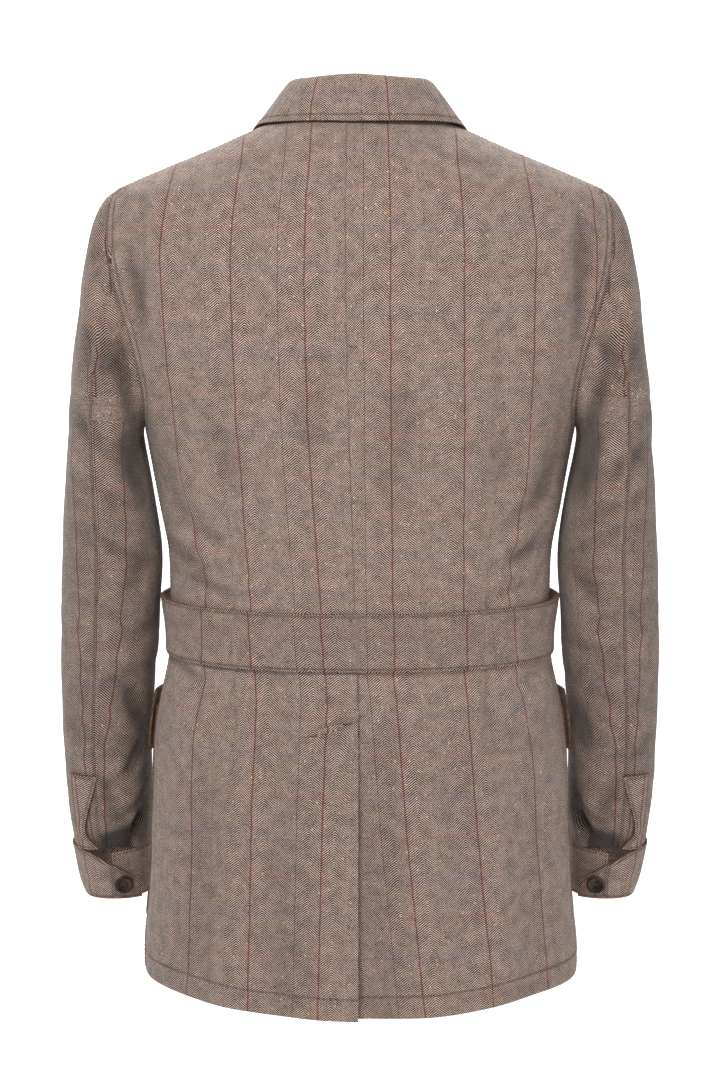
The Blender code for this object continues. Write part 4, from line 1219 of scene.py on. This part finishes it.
def make_sleeve(side):
    pieces = {}
    for part in ("top", "under"):
        pieces[part] = subdivided_sheet("sleeve_%s_%s" % (part, side), SLEEVE_CENTRE[side])
    back_seam = seam_angles(side, pieces["under"])
    for part, piece in pieces.items():
        node = "sleeve_%s_%s" % (part, side)
        points, normals = points_of(piece), normals_of(piece)
        across, along = sleeve_weave(points, side, back_seam, part == "top")
        angle = round_sleeve(points, side)
        seen = smooth(normals[:, 1], 0.05, 0.45)
        depth = ring_depth(angle, points[:, 2], SLEEVE_CREASES[side]) * (1.1 - 0.5 * seen)
        depth += 1.4 * furrow(np.abs(points[:, 0]), points[:, 2], SLEEVE_BACK_CREASES[side]) * seen
        depth += uneven(points, 0.0004)
        free = smooth(distance_from(piece, any_edge), 0.0, 0.007)
        inside = smooth(np.abs((angle % 360.0) - 180.0), 20.0, 60.0)
        depth = np.where(depth > 0.0, depth, depth * inside)
        move_points(piece, points - normals * (depth * free)[:, None])
        rows = [distance_from(piece, back_seam_test(side)) - SEAM_ROW] if part == "top" else []
        shade = depth * free + HOLLOW_SHADE * cuff_hollow(points) * seen + SLEEVE_SHADE
        finish_cloth(piece, node, across, along, row_a=rows, depth=shade)


for side in SIDES:
    make_sleeve(side)

# %% [markdown]
# ## Cuffs and plackets
#
# A cuff is a band with two ends; the buttoned end lies on top at the back of the wrist. A narrow placket
# above it covers the sleeve's opening. Both are edge-stitched all round.

# %% Make the cuffs and plackets
EDGE_ROW = 0.0022
CUFF_RADIUS = 0.040
CUFF_CREASES = [(100, -655, 26, 9, 0.45, 0.9), (70, -672, 22, 7, 0.30, 0.7)]


def make_cuff(side):
    for node in ("cuff_" + side, "sleeve_placket_" + side):
        piece = subdivided_sheet(node, SLEEVE_CENTRE[side])
        points, normals = points_of(piece), normals_of(piece)
        angle = round_sleeve(points, side)
        across = RED_STRIPE - np.radians(angle - 60.0) * CUFF_RADIUS
        along = points[:, 2] + (0.010 if node.startswith("cuff") else 0.013)
        edge = distance_from(piece, any_edge)
        wave = uneven(points, 0.0003) + ring_depth(angle, points[:, 2], CUFF_CREASES)
        move_points(piece, points - normals * (np.maximum(wave, -0.0002) * smooth(edge, 0.0, 0.006))[:, None])
        finish_cloth(piece, node, across, along, row_a=[edge - EDGE_ROW], thickness=1.8)


for side in SIDES:
    make_cuff(side)

# %% [markdown]
# ## Collar
#
# The fall rolls over the stand and lies on the shoulders, with one row of stitches 5 mm from its edge.
# Its stripes are matched to those of the back at the centre.

# %% Make the collar
COLLAR_RADIUS = 0.078
RED_AT_COLLAR = {"left": 0.0405, "right": 0.0235}
WIDE_ROW = 0.0052


def collar_weave(points):
    """Across: along the collar from the first red stripes; along: down the fall."""
    turn = np.arctan2(np.abs(points[:, 0]), points[:, 1] + 0.01)
    length = turn * COLLAR_RADIUS * np.sign(points[:, 0])
    from_red = np.where(length > 0.0, RED_AT_COLLAR["left"] - length, -length - RED_AT_COLLAR["right"])
    return RED_STRIPE + from_red, points[:, 2] - np.hypot(points[:, 0], points[:, 1]) * 0.35 + 0.029


def is_free_edge(middle, direction):
    return middle.z < 0.024 and math.hypot(middle.x, middle.y) > 0.052


fall = subdivided_sheet("collar_fall")
fall_points = points_of(fall)
fall_across, fall_along = collar_weave(fall_points)
fall_edge = distance_from(fall, is_free_edge)
fall_normals = normals_of(fall)
fall_wave = 0.0006 * np.sin(fall_points[:, 0] * 70.0 + 0.4) * smooth(fall_edge, 0.002, 0.012)
move_points(fall, fall_points + fall_normals * np.maximum(fall_wave, -0.0002)[:, None])
finish_cloth(fall, "collar_fall", fall_across, fall_along, row_a=[fall_edge - WIDE_ROW], thickness=1.8)

stand = subdivided_sheet("collar_stand", levels=2)
stand_points = points_of(stand)
stand_across, stand_along = collar_weave(stand_points)
finish_cloth(stand, "collar_stand", stand_across, stand_along)

# %% [markdown]
# ## Lapels, pockets and flaps
#
# These lie on the fronts and continue their stripes, as on a well matched jacket. Each is stitched round
# its free edges.

# %% Make what lies on the fronts
POCKET_ROWS = (0.0018, 0.0070)


def make_patch(node, side, row, second=None, top_open=False):
    piece = subdivided_sheet(node, levels=2)
    points = points_of(piece)
    across, along = front_weave(points, side)
    top = points[:, 2].max()

    def stitched(middle, direction):
        return not (top_open and middle.z > top - 0.004)

    edge = distance_from(piece, stitched)
    rows_b = [edge - second] if second else []
    finish_cloth(piece, node, across, along, row_a=[edge - row], row_b=rows_b, thickness=1.8)


for side in SIDES:
    make_patch("lapel_" + side, side, WIDE_ROW)
    make_patch("lower_pocket_" + side, side, *POCKET_ROWS, top_open=True)
    make_patch("chest_pocket_" + side, side, *POCKET_ROWS, top_open=True)
    make_patch("lower_flap_" + side, side, WIDE_ROW)
    make_patch("chest_flap_" + side, side, WIDE_ROW)

# %% [markdown]
# ## Belt
#
# The belt is sewn on across the back from side seam to side seam and buttons in front. Its stripes
# carry on those of the back. Both edges are stitched close to the fold.

# %% Make the belt
BELT_CREASES = {
    "left": [(118, -404, 96, -428, 6, 1.0), (60, -440, 24, -430, 6, 0.8),
             (150, -404, 138, -436, 6, 1.0)],
    "right": [(112, -406, 88, -432, 6, 1.0), (52, -438, 20, -428, 6, 0.8),
              (148, -406, 134, -434, 6, 1.0)],
}
BELT_SHADE = 0.0022


def is_long_edge(middle, direction):
    return abs(direction.z) < 0.6


def make_belt(node, face, side):
    piece = subdivided_sheet(node)
    points, normals = points_of(piece), normals_of(piece)
    if face == "back":
        left, along = back_weave(points, "left")
        right = back_weave(points, "right")[0]
        on_left = points[:, 0] > on_path(SEAM_PATH, points[:, 2])
        across = np.where(on_left, left, right)
        creases = np.where(on_left, furrow(points[:, 0], points[:, 2], BELT_CREASES["left"]),
                           furrow(-points[:, 0], points[:, 2], BELT_CREASES["right"]))
    else:
        across, along = front_weave(points, side)
        creases = furrow(np.abs(points[:, 0]), points[:, 2], BELT_CREASES[side])
    edge = distance_from(piece, is_long_edge)
    depth = creases + uneven(points, 0.0004)
    sunk = np.clip(depth, -0.0006, 0.0004) * smooth(edge, 0.0, 0.01)
    move_points(piece, points - normals * sunk[:, None])
    finish_cloth(piece, node, across, along, row_a=[edge - EDGE_ROW], depth=np.full(len(points), BELT_SHADE),
                 thickness=2.9)


make_belt("belt_back", "back", "left")
make_belt("belt_front_left", "front", "left")
make_belt("belt_front_right", "front", "right")

# %% [markdown]
# ## Horn buttons
#
# A button is turned from dark horn: a thick rounded rim, a dished middle with four holes, and a cross of
# thread. It is modelled once at the origin and copied to each packed button, whose disc gives the place,
# the size and the direction.

# %% Horn and its button
FOOT_RADIUS = 0.86       # all sizes of a button are shares of its radius
HOLE_RADIUS = 0.085
HOLE_DISTANCE = 0.19     # from the middle to each of the four holes
DISH_LEVEL = 0.10


def horn_material():
    """Polished dark horn with brown streaks."""
    material, shader, start = new_material("dark_horn")
    place = start.own_place()
    stretched = start.node("ShaderNodeMapping", {}, {"Vector": place, "Scale": (1.0, 1.0, 0.35)})
    streak = start.node("ShaderNodeTexNoise", {}, {"Vector": stretched, "Scale": 330.0, "Detail": 4.0,
                                                   "Distortion": 1.2}, 0)
    horn = streak.ramp(0.42, 0.74).blend(colour(0.012, 0.008, 0.007), colour(0.085, 0.045, 0.028))
    horn.into(shader, "Base Color")
    streak.ramp(0.3, 0.8, 0.26, 0.42).into(shader, "Roughness")
    streak.bump(0.15, 0.0002).into(shader, "Normal")
    return material


dark_horn = horn_material()


def select_faces(mesh, test):
    """In edit mode: select only the faces whose middle passes a test."""
    bpy.ops.object.mode_set(mode="OBJECT")
    for polygon in mesh.polygons:
        polygon.select = bool(test(polygon.center, polygon.normal))
    bpy.ops.object.mode_set(mode="EDIT")


def unit_button():
    """Button of radius 1 on the plane z = 0, with its rim up."""
    bpy.ops.object.select_all(action="DESELECT")
    bpy.ops.mesh.primitive_cylinder_add(vertices=48, radius=FOOT_RADIUS, depth=0.12,
                                        location=(0.0, 0.0, 0.06))
    button = bpy.context.object
    bpy.ops.object.transform_apply(location=True, rotation=False, scale=False)
    bpy.ops.object.mode_set(mode="EDIT")
    bpy.ops.mesh.select_mode(type="FACE")
    # the side flares out from the foot, stands straight and closes in a little
    for grow, rise in ((1.0 / FOOT_RADIUS, 0.05), (1.0, 0.10), (0.94, 0.07)):
        select_faces(button.data, lambda centre, normal: normal.z > 0.9)
        bpy.ops.mesh.extrude_region_move(TRANSFORM_OT_translate={"value": (0.0, 0.0, rise)})
        bpy.ops.transform.resize(value=(grow, grow, 1.0))
    # the top rises to the rim and then sinks into the dish
    for inset, drop in ((0.12, 0.02), (0.14, -0.03), (0.08, -0.09), (0.10, -0.03)):
        select_faces(button.data,
                     lambda centre, normal: normal.z > 0.9 and math.hypot(centre.x, centre.y) < 0.05)
        bpy.ops.mesh.inset(thickness=inset, depth=0.0)
        bpy.ops.transform.translate(value=(0.0, 0.0, drop))
    bpy.ops.object.mode_set(mode="OBJECT")
    for turn in (45.0, 135.0, 225.0, 315.0):
        spot = (HOLE_DISTANCE * math.cos(math.radians(turn)), HOLE_DISTANCE * math.sin(math.radians(turn)),
                DISH_LEVEL)
        bpy.ops.object.select_all(action="DESELECT")
        bpy.ops.mesh.primitive_cylinder_add(vertices=14, radius=HOLE_RADIUS, depth=1.0, location=spot)
        drill = bpy.context.object
        hole = button.modifiers.new("hole", "BOOLEAN")
        hole.operation = "DIFFERENCE"
        hole.object = drill
        apply_modifiers(button)
        bpy.data.objects.remove(drill)
    soften = button.modifiers.new("soft_edges", "BEVEL")
    soften.width = 0.018
    soften.segments = 2
    soften.limit_method = "ANGLE"
    soften.angle_limit = math.radians(40.0)
    apply_modifiers(button)
    return button


def unit_cross():
    """Two threads crossed over the middle of a unit button, from hole to hole."""
    bpy.ops.object.select_all(action="DESELECT")
    bars = []
    for turn in (45.0, 135.0):
        bpy.ops.mesh.primitive_torus_add(major_segments=16, minor_segments=6, major_radius=HOLE_DISTANCE,
                                         minor_radius=0.035, location=(0.0, 0.0, DISH_LEVEL),
                                         rotation=(math.radians(90.0), 0.0, math.radians(turn)))
        bars.append(bpy.context.object)
        bpy.ops.object.transform_apply(location=True, rotation=True, scale=False)
    for bar in bars:
        bar.select_set(True)
    bpy.context.view_layer.objects.active = bars[0]
    bpy.ops.object.join()
    cross = bpy.context.object
    points = points_of(cross)
    points[:, 2] = DISH_LEVEL + (points[:, 2] - DISH_LEVEL) * 0.55
    move_points(cross, points)
    return cross


button_model = unit_button()
cross_model = unit_cross()
print("a button has", len(button_model.data.polygons), "faces")


# %% Set the buttons in place
def disc_of(node):
    """Centre of the back, outward direction and radius of a packed button."""
    points = points_of(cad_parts[node])
    middle = points.mean(axis=0)
    axis = np.linalg.svd(points - middle)[2][2]
    inner = SLEEVE_CENTRE[node.split("_")[-1]](middle) if node.startswith("cuff") else Vector((0.0, 0.0))
    outward = np.array([middle[0] - inner[0], middle[1] - inner[1], 0.0])
    if axis @ outward < 0.0:
        axis = -axis
    heights = (points - middle) @ axis
    flat = points - middle - np.outer(heights, axis)
    return middle + axis * heights.min(), axis, np.linalg.norm(flat, axis=1).max()


def set_button(node):
    centre, axis, radius = disc_of(node)
    turn = Vector((0.0, 0.0, 1.0)).rotation_difference(Vector(axis)).to_matrix()
    for model, name, material in ((button_model, "horn_", dark_horn), (cross_model, "thread_", thread)):
        mesh = model.data.copy()
        piece = add_object(name + node, mesh)
        shape = points_of(piece) * radius
        move_points(piece, shape @ np.array(turn).T + centre)
        mesh.shade_smooth()
        mesh.set_sharp_from_angle(angle=math.radians(40.0))
        mesh.materials.clear()
        mesh.materials.append(material)
        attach(piece, "root")
        if name == "horn_":
            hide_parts(node)


for node in [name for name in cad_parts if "button" in name]:
    set_button(node)
bpy.data.objects.remove(button_model)
bpy.data.objects.remove(cross_model)

# %% [markdown]
# ## The cloth in all
#
# The areas of all cut pieces are added up and printed. The dressed jacket has to fill the same
# box as the imported one.

# %% Add up the cloth and finish
print("cloth in all:", round(sum(area for flat, area in CUTS.values()), 3), "square metres")
